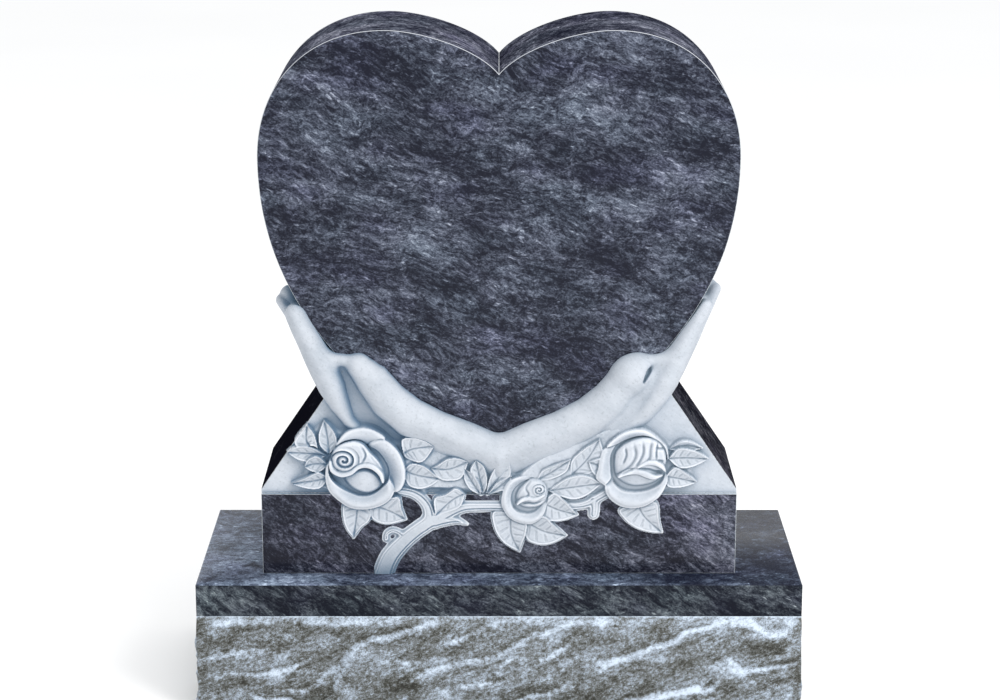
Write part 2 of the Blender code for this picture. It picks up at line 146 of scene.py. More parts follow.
def turned_outward(item):
    shape = bmesh.new()
    shape.from_mesh(item.data)
    bmesh.ops.recalc_face_normals(shape, faces=shape.faces)
    shape.to_mesh(item.data)
    shape.free()


def add_attribute(item, name, values):
    attribute = item.data.attributes.new(name, "FLOAT", "POINT")
    attribute.data.foreach_set("value", np.asarray(values, np.float32))


# Materials.
class Nodes:
    """A short way to write a node tree."""

    def __init__(self, name):
        self.material = bpy.data.materials.new(name)
        self.material.use_nodes = True
        self.tree = self.material.node_tree
        self.shader = self.tree.nodes["Principled BSDF"]
        self.place = self.node("ShaderNodeTexCoord", "Object", {})

    def node(self, kind, output, inputs, **settings):
        """One output of a new node, with its inputs linked or set."""
        node = self.tree.nodes.new(kind)
        for key, value in settings.items():
            setattr(node, key, value)
        for key, value in inputs.items():
            self.link(value, node.inputs[key])
        return node.outputs[output]

    def link(self, source, target):
        if isinstance(source, (int, float, tuple)):
            target.default_value = source
        else:
            self.tree.links.new(source, target)

    def coordinate(self, axis):
        """One of the place's three coordinates."""
        return self.node("ShaderNodeSeparateXYZ", axis, {0: self.place})

    def noise(self, fineness, detail, rough, warp=0.0, turn=0.0, shift=(0, 0, 0), place=None):
        """A noise with a fineness along each axis, turned about the axis that runs from front to back."""
        mapping = {"Vector": place or self.place, "Rotation": (0.0, turn, 0.0), "Location": shift}
        mapping["Scale"] = tuple(1.0 / axis for axis in fineness)
        spot = self.node("ShaderNodeMapping", "Vector", mapping, vector_type="TEXTURE")
        inputs = {"Vector": spot, "Scale": 1.0, "Detail": detail, "Roughness": rough, "Distortion": warp}
        return self.node("ShaderNodeTexNoise", "Fac", inputs)

    def openness(self, reach):
        """How open the stone lies to its surroundings within that reach, from 0 to 1, by ambient occlusion;
        used to paint shade.
        """
        return self.node("ShaderNodeAmbientOcclusion", "AO", {"Distance": reach}, samples=6)

    def ranged(self, value, low, high, to_low=0.0, to_high=1.0, soft=True):
        inputs = {"Value": value, "From Min": low, "From Max": high, "To Min": to_low, "To Max": to_high}
        kind = "SMOOTHSTEP" if soft else "LINEAR"
        return self.node("ShaderNodeMapRange", "Result", inputs, interpolation_type=kind)

    def maths(self, operation, one, other):
        return self.node("ShaderNodeMath", 0, {0: one, 1: other}, operation=operation)

    def total(self, start, *parts):
        """The sum of a start and of values that each have a weight."""
        whole = start
        for value, weight in parts:
            whole = self.maths("ADD", whole, self.maths("MULTIPLY", value, weight))
        return whole

    def mix(self, share, one, other, blend="MIX"):
        one, other = [(*colour, 1.0) if isinstance(colour, tuple) else colour for colour in (one, other)]
        inputs = {"Factor": share, 6: one, 7: other}
        return self.node("ShaderNodeMix", 2, inputs, data_type="RGBA", blend_type=blend)

    def ramp(self, value, *stops):
        node = self.tree.nodes.new("ShaderNodeValToRGB")
        self.link(value, node.inputs["Fac"])
        elements = node.color_ramp.elements
        while len(elements) < len(stops):
            elements.new(0.5)
        for element, (position, colour) in zip(elements, stops):
            element.position = position
            element.color = (*colour, 1.0)
        return node.outputs["Color"]

    def attribute(self, name):
        return self.node("ShaderNodeAttribute", "Fac", {}, attribute_name=name)

    def bump(self, height, strength, distance, below=None):
        inputs = {"Strength": strength, "Distance": distance, "Height": height}
        if below is not None:
            inputs["Normal"] = below
        return self.node("ShaderNodeBump", "Normal", inputs)

    def finish(self, colour, roughness, normal=None, specular=0.5):
        self.link(colour, self.shader.inputs["Base Color"])
        self.link(roughness, self.shader.inputs["Roughness"])
        self.shader.inputs["Specular IOR Level"].default_value = specular
        if normal is not None:
            self.link(normal, self.shader.inputs["Normal"])
        return self.material


def polished_granite(name, tint, lift, turn, contrast=1.0, specular=0.14, rough=(0.13, 0.26), painted_light_to_right=0.0):
    """Dark blue granite: pale feldspar in short broken streaks through a near-black ground, polished."""
    n = Nodes(name)
    wander = n.noise((3.2, 3.2, 3.2), 2.0, 0.5)
    cross = n.noise((13, 13, 13), 3.0, 0.55, shift=(5, 1, 3))
    sideways = n.ranged(cross, 0.25, 0.75, -0.010, 0.010, False)
    sway = n.ranged(wander, 0.25, 0.75, 0.020, -0.020, False)
    sway = n.maths("ADD", sway, n.ranged(cross, 0.25, 0.75, 0.010, -0.010, False))
    wave = n.node("ShaderNodeCombineXYZ", 0, {0: sideways, 2: sway})
    flow = n.node("ShaderNodeVectorMath", 0, {0: n.place, 1: wave}, operation="ADD")
    lean = math.radians(turn)
    clouds = n.noise((7, 10, 17), 3.0, 0.60, 0.0, lean, (1, 5, 2), flow)
    streaks = n.noise((42, 60, 108), 5.0, 0.68, 0.6, lean, place=flow)
    crystals = n.noise((150, 170, 250), 3.0, 0.70, 0.8, lean, (3, 1, 7), flow)
    grains = n.noise((330, 360, 480), 2.0, 0.6, 0.0, lean, (8, 2, 6))
    flecks = n.noise((60, 100, 230), 3.0, 0.6, 0.0, lean, (6, 8, 1), flow)
    tone = n.total(
        lift - 0.986 - 0.38 * (contrast - 1.0),
        (clouds, 0.682),
        (streaks, 0.93),
        (crystals, 0.775 * contrast),
        (grains, 0.403 * contrast),
        (n.ranged(flecks, 0.60, 0.74), 0.248),
        # Painted light: the tone grows lighter or darker from left to right, as light or reflection falls
        # unevenly across the stone.
        (n.coordinate("X"), painted_light_to_right),
    )
    colour = n.ramp(
        tone,
        (0.24, (0.008, 0.009, 0.016)),
        (0.36, (0.022, 0.025, 0.036)),
        (0.46, (0.052, 0.058, 0.076)),
        (0.56, (0.098, 0.108, 0.135)),
        (0.68, (0.190, 0.205, 0.240)),
        (0.84, (0.400, 0.420, 0.460)),
    )
    hue = n.noise((11, 11, 19), 2.0, 0.5, shift=(2, 7, 9))
    veil = n.ramp(hue, (0.32, (0.95, 1.0, 0.99)), (0.52, (1.0, 1.0, 1.0)), (0.70, (1.02, 0.99, 1.08)))
    colour = n.mix(1.0, colour, veil, "MULTIPLY")
    colour = n.mix(1.0, colour, tint, "MULTIPLY")
    return n.finish(colour, n.ranged(grains, 0.3, 0.7, *rough), specular=specular)


def frosted_granite(name, lift=1.0):
    """The same stone where it is carved: pale, dull and finely pitted, with painted bluish shade in its
    hollows, more of it on the left, and painted highlights and shade on its relief.
    """
    n = Nodes(name)
    fine = n.noise((900, 900, 900), 3.0, 0.6)
    patch = n.noise((24, 24, 24), 4.0, 0.6)
    tool = n.noise((90, 90, 260), 3.0, 0.6, turn=0.6, shift=(1, 3, 5))
    speck = n.noise((300, 300, 300), 2.0, 0.5, shift=(2, 9, 4))
    # Painted shade: where ambient occlusion finds the carving closed in, its colour is pulled to a blue-grey
    # in small hollows and a darker blue in deep ones.
    hollow = n.ranged(n.openness(0.018), 0.20, 0.78)
    deep = n.ranged(n.openness(0.075), 0.42, 0.94)
    # The deep painted shade is held back toward the right, so the left of the carving is painted as lying in
    # shade.
    deep = n.maths("MAXIMUM", deep, n.ranged(n.coordinate("X"), -0.16, 0.06, 0.0, 0.72))
    detail = n.attribute("detail")
    bright = n.ramp(patch, (0.34, (0.455, 0.495, 0.55)), (0.66, (0.545, 0.580, 0.635)))
    bright = n.mix(n.ranged(tool, 0.42, 0.70, 0.0, 0.30), bright, (0.61, 0.65, 0.71))
    bright = n.mix(n.ranged(speck, 0.56, 0.74, 0.0, 0.45), bright, (0.32, 0.35, 0.38))
    # Painted highlight on raised relief and painted shade in its cuts, read from the detail attribute.
    bright = n.mix(n.ranged(detail, 0.05, 1.0, 0.0, 0.65, False), bright, (0.78, 0.80, 0.84))
    bright = n.mix(n.ranged(detail, -0.95, -0.06, 0.66, 0.0, False), bright, (0.145, 0.17, 0.20))
    bright = n.mix(1.0, bright, (lift, lift, lift), "MULTIPLY")
    colour = n.mix(hollow, (0.275, 0.345, 0.405), bright)
    colour = n.mix(deep, (0.135, 0.215, 0.310), colour)
    normal = n.bump(fine, 0.35, 0.0004)
    normal = n.bump(speck, 0.30, 0.0008, normal)
    return n.finish(colour, 0.85, normal, 0.15)


def arris_granite(name):
    """The thin edge that the polisher leaves: a pale line, partly the edge's own colour and partly a painted
    highlight, with more painted highlight along the heart's top.
    """
    n = Nodes(name)
    fine = n.noise((260, 260, 260), 4.0, 0.6)
    colour = n.ramp(fine, (0.35, (0.20, 0.22, 0.24)), (0.6, (0.48, 0.52, 0.56)))
    # Painted highlight: the edge is lightened near the heart's top, where light from above catches it.
    colour = n.mix(n.ranged(n.coordinate("Z"), 0.84, 0.95, 0.0, 0.85), colour, (0.47, 0.49, 0.53))
    return n.finish(colour, 0.4, None, 0.4)


def rock_granite(name):
    """Split stone: salt and pepper, greenish brown between its ledges, with an edge attribute that paints
    light on ledges and along the rock's top and paints shade in its hollows, partly standing for real
    bruising on the ridges.
    """
    n = Nodes(name)
    fine = n.noise((560, 560, 560), 3.0, 0.70)
    speck = n.noise((150, 150, 230), 4.0, 0.74, 0.0, -0.4, (4, 2, 8))
    patch = n.noise((11, 11, 24), 6.0, 0.66, 0.6, -0.45, (1, 4, 6))
    colour = n.ramp(
        # The edge attribute adds painted light and shade to the tone.
        n.total(-0.755, (fine, 0.62), (speck, 0.90), (patch, 0.95), (n.attribute("edge"), 0.20)),
        (0.24, (0.036, 0.036, 0.031)),
        (0.38, (0.095, 0.097, 0.088)),
        (0.50, (0.190, 0.208, 0.220)),
        (0.63, (0.350, 0.410, 0.490)),
        (0.82, (0.600, 0.690, 0.800)),
    )
    normal = n.bump(speck, 0.6, 0.0018)
    normal = n.bump(fine, 0.5, 0.0008, normal)
    return n.finish(colour, 0.85, normal, 0.15)


# The base. The ledges of its split face: pitch, weight, bend and the share of the pitch that rises.
LEDGES = ((0.090, 1.0, 2.4, 0.86), (0.040, 0.60, 1.8, 0.80))
LEDGE_LEAN = math.radians(22)


def rock_relief(along, height, side):
    """How far one side's split face stands out at each place, not yet scaled."""
    one, two, three = lattice(11 + side), lattice(31 + side), lattice(51 + side)
    depth = np.full_like(along, 0.37 + side)
    warp = layered(one, along * 9, height * 9, depth, 3) - 0.5
    sway = layered(two, along * 5, height * 5, depth, 2) - 0.5
    across = height * math.cos(LEDGE_LEAN) - along * math.sin(LEDGE_LEAN)
    face = 0.0
    for pitch, weight, bend, share in LEDGES:
        phase = across / pitch + bend * warp + bend * sway + 0.37 * side
        tooth = phase - np.floor(phase)
        ledge = np.where(tooth < share, tooth / share, (1.0 - tooth) / (1.0 - share))
        presence = smooth(0.36, 0.56, layered(three, along * 8, height * 14, depth + pitch * 90, 2))
        face += weight * presence * ledge
    broad = layered(two, along * 7, height * 10, depth + 4, 3)
    chips = layered(three, along * 50, height * 62, depth, 3, 0.6)
    grit = layered(one, along * 260, height * 260, depth, 2)
    return 0.62 * face + 0.80 * broad + 0.55 * chips + 0.10 * grit


def base_piece(polished, margin, rock):
    """The slab's rings from the polished top down to the bed; the rock below the margin is split."""
    rock_top = BASE_HEIGHT - MARGIN
    half_wide, half_deep = BASE_WIDTH / 2, BASE_DEPTH / 2
    sides = (
        ((-half_wide, -half_deep), (half_wide, -half_deep), (0, -1)),
        ((half_wide, -half_deep), (half_wide, half_deep), (1, 0)),
        ((half_wide, half_deep), (-half_wide, half_deep), (0, 1)),
        ((-half_wide, half_deep), (-half_wide, -half_deep), (-1, 0)),
    )
    rows = round(rock_top / ROCK_CELL)
    heights = np.linspace(rock_top, 0.0, rows + 1)
    columns, outs = [], []
    for number, (start, end, outward) in enumerate(sides):
        before = sides[number - 1][2]
        length = BASE_WIDTH if number % 2 == 0 else BASE_DEPTH
        cells = round(length / ROCK_CELL)
        shares = np.arange(cells) / cells
        along, up = np.meshgrid(shares * length, heights, indexing="ij")
        relief = rock_relief(along, up, number)
        relief = (relief - np.percentile(relief, 3)) / (relief.max() - np.percentile(relief, 3))
        from_corner = np.minimum(along, length - along)
        belly = smooth(0.0, 0.016, rock_top - up) * (0.25 + 0.75 * smooth(0.0, 0.030, from_corner))
        out = np.clip(relief, 0.0, 1.0) * belly * ROCK_BULGE
        for cell, share in enumerate(shares):
            push = [outward[axis] + (before[axis] if cell == 0 else 0) for axis in (0, 1)]
            columns.append((between(start[0], end[0], share), between(start[1], end[1], share), *push))
        outs.append(out)
    out = np.vstack(outs)
    columns = np.array(columns)
    count = len(columns)
    curve = out - (np.roll(out, 3, 0) + np.roll(out, -3, 0) + np.roll(out, 3, 1) + np.roll(out, -3, 1)) / 4
    curve[:, :4] = 0.0
    curve[:, -4:] = 0.0
    rise = np.gradient(out, axis=1) / ROCK_CELL
    soft = blurred(out, 2)
    broad = np.gradient(soft, axis=1) / ROCK_CELL
    turn = np.gradient(soft, axis=0) / ROCK_CELL
    # The edge attribute, painted light and shade for the split face: ridges lighter, partly real bruising
    # and partly painted highlight; hollows darker as painted shade; faces that tilt up are lit and faces
    # that tilt down are shaded; slopes turned toward the light are lit.
    edge = 0.45 * smooth(0.0002, 0.0014, curve) - 0.4 * smooth(0.0002, 0.0012, -curve)
    edge += 0.95 * smooth(0.10, 0.55, rise) - 0.25 * smooth(0.05, 0.50, -rise)
    edge += np.clip(1.0 * broad - 0.6 * turn, -0.55, 0.6)
    # Painted highlight along the top of the rock, where its ledge catches light from above.
    edge += 1.3 * (1.0 - smooth(0.0010, 0.0032, rock_top - heights))[None, :]
    points, edges = [], []
    for inset, height in ((ARRIS, BASE_HEIGHT), (0.0, BASE_HEIGHT - ARRIS)):
        sign = np.sign(columns[:, :2]) * (np.abs(columns[:, :2]) > np.array([half_wide, half_deep]) - 1e-6)
        ring = columns[:, :2] - sign * inset
        points.append(np.column_stack([ring, np.full(count, height)]))
        edges.append(np.zeros(count))
    for row, height in enumerate(heights):
        ring = columns[:, :2] + columns[:, 2:] * out[:, row : row + 1]
        points.append(np.column_stack([ring, np.full(count, height)]))
        edges.append(edge[:, row])
    faces, slots = [tuple(range(count))], [0]
    rings = len(points)
    for ring in range(rings - 1):
        for place in range(count):
            a, b = ring * count + place, ring * count + (place + 1) % count
            faces.append((a, a + count, b + count, b))
            slots.append(min(ring, 2))
    faces.append(tuple(range((rings - 1) * count, rings * count)))
    slots.append(2)
    item = mesh_object("base_slab", np.vstack(points), faces, (polished, margin, rock), slots, 50)
    turned_outward(item)
    add_attribute(item, "edge", np.concatenate(edges))
    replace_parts(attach(item, "root"), "base")


# The block and the heart.
def bezier(start, lead, follow, end, steps):
    """Points of a cubic curve, without its last one."""
    points = []
    for step in range(steps):
        t = step / steps
        weights = ((1 - t) ** 3, 3 * (1 - t) ** 2 * t, 3 * (1 - t) * t**2, t**3)
        corners = (start, lead, follow, end)
        points.append(tuple(sum(w * corner[axis] for w, corner in zip(weights, corners)) for axis in (0, 1)))
    return points


def heart_half(fineness=4):
    """The right half of the heart, from the notch over the lobe and down the side to the tip."""
    half = HEART_WIDTH / 2
    notch = (0.0, HEART_TOP - NOTCH_DEPTH)
    lobe = (0.471 * half, HEART_TOP)
    widest = (half, HEART_TIP + WIDEST * HEART_HEIGHT)
    tip = (0.0, HEART_TIP)
    lead = (0.085 * half, notch[1] + 0.053 * HEART_HEIGHT)
    inner = bezier(notch, lead, (lobe[0] - 0.152 * half, HEART_TOP), lobe, 6 * fineness)
    lead = (lobe[0] + 0.331 * half, HEART_TOP)
    outer = bezier(lobe, lead, (half, widest[1] + 0.153 * HEART_HEIGHT), widest, 9 * fineness)
    lead = (half, widest[1] - 0.295 * HEART_HEIGHT)
    side = bezier(widest, lead, (0.655 * half, HEART_TIP + 0.237 * HEART_HEIGHT), tip, 16 * fineness)
    return inner + outer + side + [tip]


def in_heart(across, up):
    """The place at these shares of the heart's half width and of its height."""
    return across * HEART_WIDTH / 2, HEART_TIP + up * HEART_HEIGHT


def slope_height(x):
    """The height of the shoulder's slope, or of its line carried on, at that distance from the middle."""
    return BLOCK_FOOT + SHOULDER_HEIGHT + (BLOCK_WIDTH / 2 - x) * math.tan(SHOULDER_SLOPE)


def split_heart():
    """The right half of the heart above and below the place where the shoulder meets it."""
    points = heart_half()
    for number in range(len(points) - 1):
        last, point = points[number], points[number + 1]
        gap, next_gap = last[1] - slope_height(last[0]), point[1] - slope_height(point[0])
        if gap > 0 > next_gap and last[1] < HEART_TIP + WIDEST * HEART_HEIGHT:
            share = gap / (gap - next_gap)
            meet = (between(last[0], point[0], share), between(last[1], point[1], share))
            return points[: number + 1] + [meet], [meet] + points[number + 1 :]
    raise ValueError("the shoulder doesn't meet the heart")


def slab_piece(materials):
    """The block and the heart as one slab: face, carved ground, strip, arrises, sides and slopes."""
    above, below = split_heart()
    half = BLOCK_WIDTH / 2
    shoulder, ledge, foot = (half, BLOCK_FOOT + SHOULDER_HEIGHT), (half, STRIP_TOP), (half, BLOCK_FOOT)
    left_shoulder, left_ledge, left_foot = [(-x, z) for x, z in (shoulder, ledge, foot)]
    shape = bmesh.new()
    made = {}

    def vertex(x, y, z):
        key = (round(x, 7), round(y, 7), round(z, 7))
        if key not in made:
            made[key] = shape.verts.new((x, y, z))
        return made[key]

    def face(places, slot):
        corners = dict.fromkeys(vertex(*place) for place in places)
        shape.faces.new(list(corners)).material_index = slot

    def upright(outline, y, slot):
        face([(x, y, z) for x, z in outline], slot)

    def mirrored(points):
        return points + [(-x, z) for x, z in reversed(points)]

    thumbs = [in_heart(across, up) for across, up, _ in THUMB_LINE]
    shown = [point for point in above if point[1] > HEART_TIP + FACE_END * HEART_HEIGHT]
    hidden = above[len(shown) - 1 :] + below[1:]
    upright(mirrored(shown + thumbs), GROUND, 0)
    upright(mirrored(hidden) + [(-x, z) for x, z in thumbs[:-1]] + thumbs[::-1], GROUND, 1)
    ground = [below[0], shoulder, ledge, left_ledge, left_shoulder]
    upright(ground + [(-x, z) for x, z in below] + below[:0:-1], GROUND, 1)
    step = ((ledge, GROUND), (ledge, FRONT), (left_ledge, FRONT), (left_ledge, GROUND))
    face([(x, y, z) for (x, z), y in step], 1)
    upright([ledge, foot, left_foot, left_ledge], FRONT, 2)
    outline = above + [shoulder, ledge, foot]
    for sign in (1, -1):
        for first, last in zip(outline, outline[1:]):
            near = FRONT if last == foot else GROUND
            places = [(sign * first[0], near, first[1]), (sign * last[0], near, last[1])]
            places += [(sign * last[0], BACK, last[1]), (sign * first[0], BACK, first[1])]
            if last == foot:
                places.append((sign * first[0], GROUND, first[1]))
            face(places, 5 if last == shoulder else 4)
    bed = ((foot, FRONT), (left_foot, FRONT), (left_foot, BACK), (foot, BACK))
    face([(x, y, z) for (x, z), y in bed], 4)
    upright(mirrored(outline), BACK, 0)
    mesh = bpy.data.meshes.new("tablet_slab")
    bmesh.ops.recalc_face_normals(shape, faces=shape.faces)
    shape.to_mesh(mesh)
    shape.free()
    for material in materials:
        mesh.materials.append(material)
    mesh.shade_smooth()
    mesh.set_sharp_from_angle(angle=math.radians(32))
    item = in_scene("tablet_slab", mesh)
    rounding = item.modifiers.new("arris", "BEVEL")
    rounding.width = TABLET_ARRIS
    rounding.use_clamp_overlap = False
    rounding.segments = 2
    rounding.limit_method = "ANGLE"
    rounding.angle_limit = math.radians(40)
    rounding.material = 3
    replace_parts(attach(item, "root"), "tablet")


# The hands. Girths and finger stand-offs are shares of the heart's width, heights of its height.
FINGER_ROOT = 0.165
FINGER_TIPS = (0.418, 0.446, 0.434, 0.385)
FINGER_GIRTH = 0.0312
FINGER_TAPER = ((0.0, 0.95), (0.40, 1.00), (0.58, 0.86), (0.80, 0.60), (1.0, 0.42))
FINGER_STAND_OFF = ((0.0, 0.056), (0.18, 0.058), (0.40, 0.044), (0.58, 0.029), (0.80, 0.018), (1.0, 0.015))
FINGER_SPREAD = 0.009
FINGER_FLATTENING = (0.62, 0.84)
FINGER_SET_BACK = 0.011
FINGER_PITCH = 0.032
FINGER_FILLET = 0.006
BED_SET_BACK = 0.006
BED_OVERLAP = 0.002
FULLNESS = {1: 1.12, -1: 0.96}
PALM = ((0.07, 0.0424), (0.12, 0.0410), (0.18, 0.0381), (0.24, 0.0311))
PALM_STAND_OFF = 0.031
PALM_SET_BACK = 0.063
PALM_FLATTENING = 0.5
THUMB_LINE = (
    (0.590, 0.280, 0.60),
    (0.530, 0.247, 0.82),
    (0.466, 0.204, 0.90),
    (0.380, 0.168, 0.92),
    (0.265, 0.137, 0.92),
    (0.138, 0.112, 0.92),
    (0.000, 0.079, 0.93),
)
THUMB_BALL = {1: ((0.560, 0.262, 0.94),), -1: ()}
LEFT_INDEX = ((0.0, 0.30), (0.22, 0.50), (0.42, 1.00), (0.58, 1.04), (0.80, 0.88), (1.0, 0.76))
LEFT_SPLAY = 0.010
LEFT_BOW = 0.010
LEFT_TIP = 0.400
ROOT_BACK = 0.016
ROOT_FORWARD = 0.010
LEFT_DROP = 0.018
FACE_END = 0.292
WRIST_SPAN = (0.30, 0.46)
WRIST_FALL = 0.30
WRIST_BACK = 0.30
WRIST_FLATNESS = 1.25
INDEX_BED_BACK = 0.022
VALLEY = {
    1: ((0.690, 0.270), (0.600, 0.222), (0.470, 0.155)),
    -1: ((0.665, 0.290), (0.630, 0.262), (0.590, 0.235)),
}
VALLEY_GIRTH = 0.026
VALLEY_BACK = {1: 0.008, -1: 0.022}
THUMB_GIRTH = 0.0450
THUMB_PROUD = 0.003
MIDDLE_OVERLAP = 0.0006
THUMB_BACKING = 0.018
THUMB_WEB = ((0.590, 0.288), (0.735, 0.298))
WEB_GIRTH = 0.0125
CREASE = ((0.655, 0.290, 0.018), (0.630, 0.273, 0.018), (0.604, 0.251, 0.018))
CREASE_GIRTHS = (0.0018, 0.0042, 0.0018)
CREASE_FLATTENING = 0.24
FAR = 0.05
PALM_REACH = 0.07
THUMB_REACH = 0.075
CREASE_REACH = 0.03
PALM_FILLET = 0.012
THUMB_FILLET = 0.010
BALL_FILLET = 0.010
WEB_FILLET = 0.008
VALLEY_FILLET = 0.006


def heart_side():
    """The heart's side below its widest point, as heights rising, half widths and outward directions."""
    side = [point for point in heart_half(1) if point[1] <= HEART_TIP + WIDEST * HEART_HEIGHT][::-1]
    across, up = np.array(side).T
    run, rise = np.gradient(across), np.gradient(up)
    length = np.hypot(run, rise)
    return up, across, rise / length, -run / length


SIDE = heart_side()


def beside_heart(height, offset):
    """The place that far out from the heart's side at that height."""
    up, across, out, down = SIDE
    x = np.interp(height, up, across)
    return x + offset * np.interp(height, up, out), height + offset * np.interp(height, up, down)


def along_profile(share, profile):
    """The value of a profile of shares and values at that share."""
    shares, values = zip(*profile)
    return float(np.interp(share, shares, values))


def joined(one, other, soft):
    """Two shapes as one, with a fillet where they meet."""
    overlap = np.clip(soft - np.abs(one - other), 0.0, None) / soft
    return np.minimum(one, other) - overlap**2 * soft / 4


class Field:
    """A sampled distance field that shapes are blended into, each only near itself."""

    def __init__(self, low, high, cell):
        self.low, self.cell = np.array(low), cell
        self.axes = [np.arange(a, b, cell) for a, b in zip(low, high)]
        self.values = np.full([len(axis) for axis in self.axes], FAR, np.float32)

    def near(self, centres, reach):
        """The samples within that reach of the centres."""
        centres = np.array(centres)
        spans = []
        for axis in range(3):
            first = int((centres[:, axis].min() - reach - self.low[axis]) / self.cell)
            last = int((centres[:, axis].max() + reach - self.low[axis]) / self.cell) + 2
            spans.append(slice(max(first, 0), min(last, len(self.axes[axis]))))
        where = np.meshgrid(*[axis[span] for axis, span in zip(self.axes, spans)], indexing="ij")
        return tuple(spans), [samples.astype(np.float32) for samples in where]

    def join(self, spans, shape, soft):
        self.values[spans] = joined(self.values[spans], shape, soft)


def distance_to_chain(where, centres, radii, flattening):
    """Distance from every sample to a chain of balls joined by cones, thicker from front to back."""
    best = None
    stretch = np.array([1.0, flattening, 1.0])
    for start, end, first, last in zip(centres, centres[1:], radii, radii[1:]):
        start, end = np.array(start) * stretch, np.array(end) * stretch
        line = end - start
        off = [axis * scale - origin for axis, scale, origin in zip(where, stretch, start)]
        share = np.clip(sum(o * component for o, component in zip(off, line)) / (line @ line), 0.0, 1.0)
        span = np.sqrt(sum((o - share * component) ** 2 for o, component in zip(off, line)))
        here = span - (first + (last - first) * share)
        best = here if best is None else np.minimum(best, here)
    return best


def add_fingers(field, sign, fullness):
    """Four fingers along one side of the heart, each on a bed that ties it to the stone."""
    left = sign < 0
    for number, tip in enumerate(FINGER_TIPS):
        index = number == 0
        behind = min(number, 1)
        depth = GROUND + FINGER_SET_BACK + number * FINGER_PITCH
        if left:
            tip = LEFT_TIP if index else tip - LEFT_DROP
        centres, radii, bed, bed_radii = [], [], [], []
        for share in np.linspace(0.0, 1.0, 10):
            stand_off = along_profile(share, FINGER_STAND_OFF) + FINGER_SPREAD * share * behind
            stand_off = stand_off * HEART_WIDTH
            if left:
                stand_off += LEFT_SPLAY * share**3 + LEFT_BOW * math.sin(math.pi * share) ** 0.8 * index
            height = HEART_TIP + HEART_HEIGHT * between(FINGER_ROOT, tip, share)
            girth = along_profile(share, FINGER_TAPER)
            if left and index:
                slim = along_profile(share, LEFT_INDEX)
                stand_off += (girth - slim) * FINGER_GIRTH * HEART_WIDTH
                girth = slim
            girth *= between(fullness, 1.0, share)
            x, z = beside_heart(height, stand_off)
            forward = (ROOT_FORWARD if left else -ROOT_BACK) * (1.0 - smooth(0.05, 0.5, share)) * index
            centres.append((sign * x, depth - forward, z))
            radii.append(FINGER_GIRTH * HEART_WIDTH * girth)
            x, z = beside_heart(height, stand_off / 2)
            bed.append((sign * x, depth + (INDEX_BED_BACK if index else BED_SET_BACK), z))
            bed_radii.append(stand_off / 2 + BED_OVERLAP)
        spans, where = field.near(centres, FAR)
        shape = distance_to_chain(where, centres, radii, FINGER_FLATTENING[behind])
        shape = np.minimum(shape, distance_to_chain(where, bed, bed_radii, 1.0))
        field.join(spans, shape, FINGER_FILLET)


def add_palm(field, sign):
    """The palm's edge along the heart's side, below the fingers."""
    centres = []
    for up, _ in PALM:
        x, z = beside_heart(HEART_TIP + HEART_HEIGHT * up, PALM_STAND_OFF * HEART_WIDTH)
        centres.append((sign * x, GROUND + PALM_SET_BACK, z))
    spans, where = field.near(centres, PALM_REACH)
    shape = distance_to_chain(where, centres, [girth * HEART_WIDTH for _, girth in PALM], PALM_FLATTENING)
    field.join(spans, shape, PALM_FILLET)


def on_face(sign, across, up, back=0.0):
    """A place in the middle of the thumb's thickness, or that far behind it."""
    x, z = in_heart(across, up)
    return sign * x, GROUND - THUMB_PROUD + back, z


def add_thumb(field, sign):
    """The thumb and its ball across the heart's front, which run down into the wrist under the tip."""
    half = HEART_WIDTH / 2
    thickness = THUMB_GIRTH * HEART_WIDTH
    middle = GROUND - THUMB_PROUD
    centres = [on_face(sign, across, up) for across, up, _ in THUMB_LINE]
    radii = [thickness * girth for _, _, girth in THUMB_LINE]
    spans, (x, y, z) = field.near(centres, THUMB_REACH)
    line_x, line_z = zip(*[(abs(centre[0]), centre[2]) for centre in reversed(centres)])
    below = np.clip(np.interp(np.abs(x), line_x, line_z) - z, 0.0, None)
    wrist = 1.0 - smooth(WRIST_SPAN[0] * half, WRIST_SPAN[1] * half, np.abs(x))
    fuller = z + WRIST_FALL * wrist * below
    deep = y - middle - WRIST_BACK * wrist * below
    flatter = deep * between(1.0, WRIST_FLATNESS, wrist)
    deep = np.where(deep < 0, flatter, np.clip(deep - THUMB_BACKING, 0.0, None))
    straight = (x, middle + deep, fuller)
    shape = distance_to_chain(straight, centres, radii, 1.0)
    shape = np.maximum(shape, -sign * x - MIDDLE_OVERLAP)
    for across, up, girth in THUMB_BALL[sign]:
        place = on_face(sign, across, up)
        beside = (place[0] + 1e-3, *place[1:])
        ball = distance_to_chain(straight, [place, beside], [thickness * girth] * 2, 1.0)
        shape = joined(shape, ball, BALL_FILLET)
    web = [on_face(sign, across, up) for across, up in THUMB_WEB]
    other = distance_to_chain(straight, web, [WEB_GIRTH * HEART_WIDTH] * 2, 1.0)
    field.join(spans, joined(shape, other, WEB_FILLET), THUMB_FILLET)


def add_valley(field, sign):
    """The low ground between the thumb and the index finger."""
    centres = [on_face(sign, across, up, VALLEY_BACK[sign]) for across, up in VALLEY[sign]]
    spans, where = field.near(centres, FAR)
    shape = distance_to_chain(where, centres, [VALLEY_GIRTH * HEART_WIDTH] * len(centres), 1.0)
    field.join(spans, shape, VALLEY_FILLET)


def cut_crease(field):
    """The dark crease where the right thumb's tip lies on the hand."""
    centres = [on_face(1, across, up, -proud) for across, up, proud in CREASE]
    spans, where = field.near(centres, CREASE_REACH)
    groove = distance_to_chain(where, centres, CREASE_GIRTHS, CREASE_FLATTENING)
    field.values[spans] = np.maximum(field.values[spans], -groove)


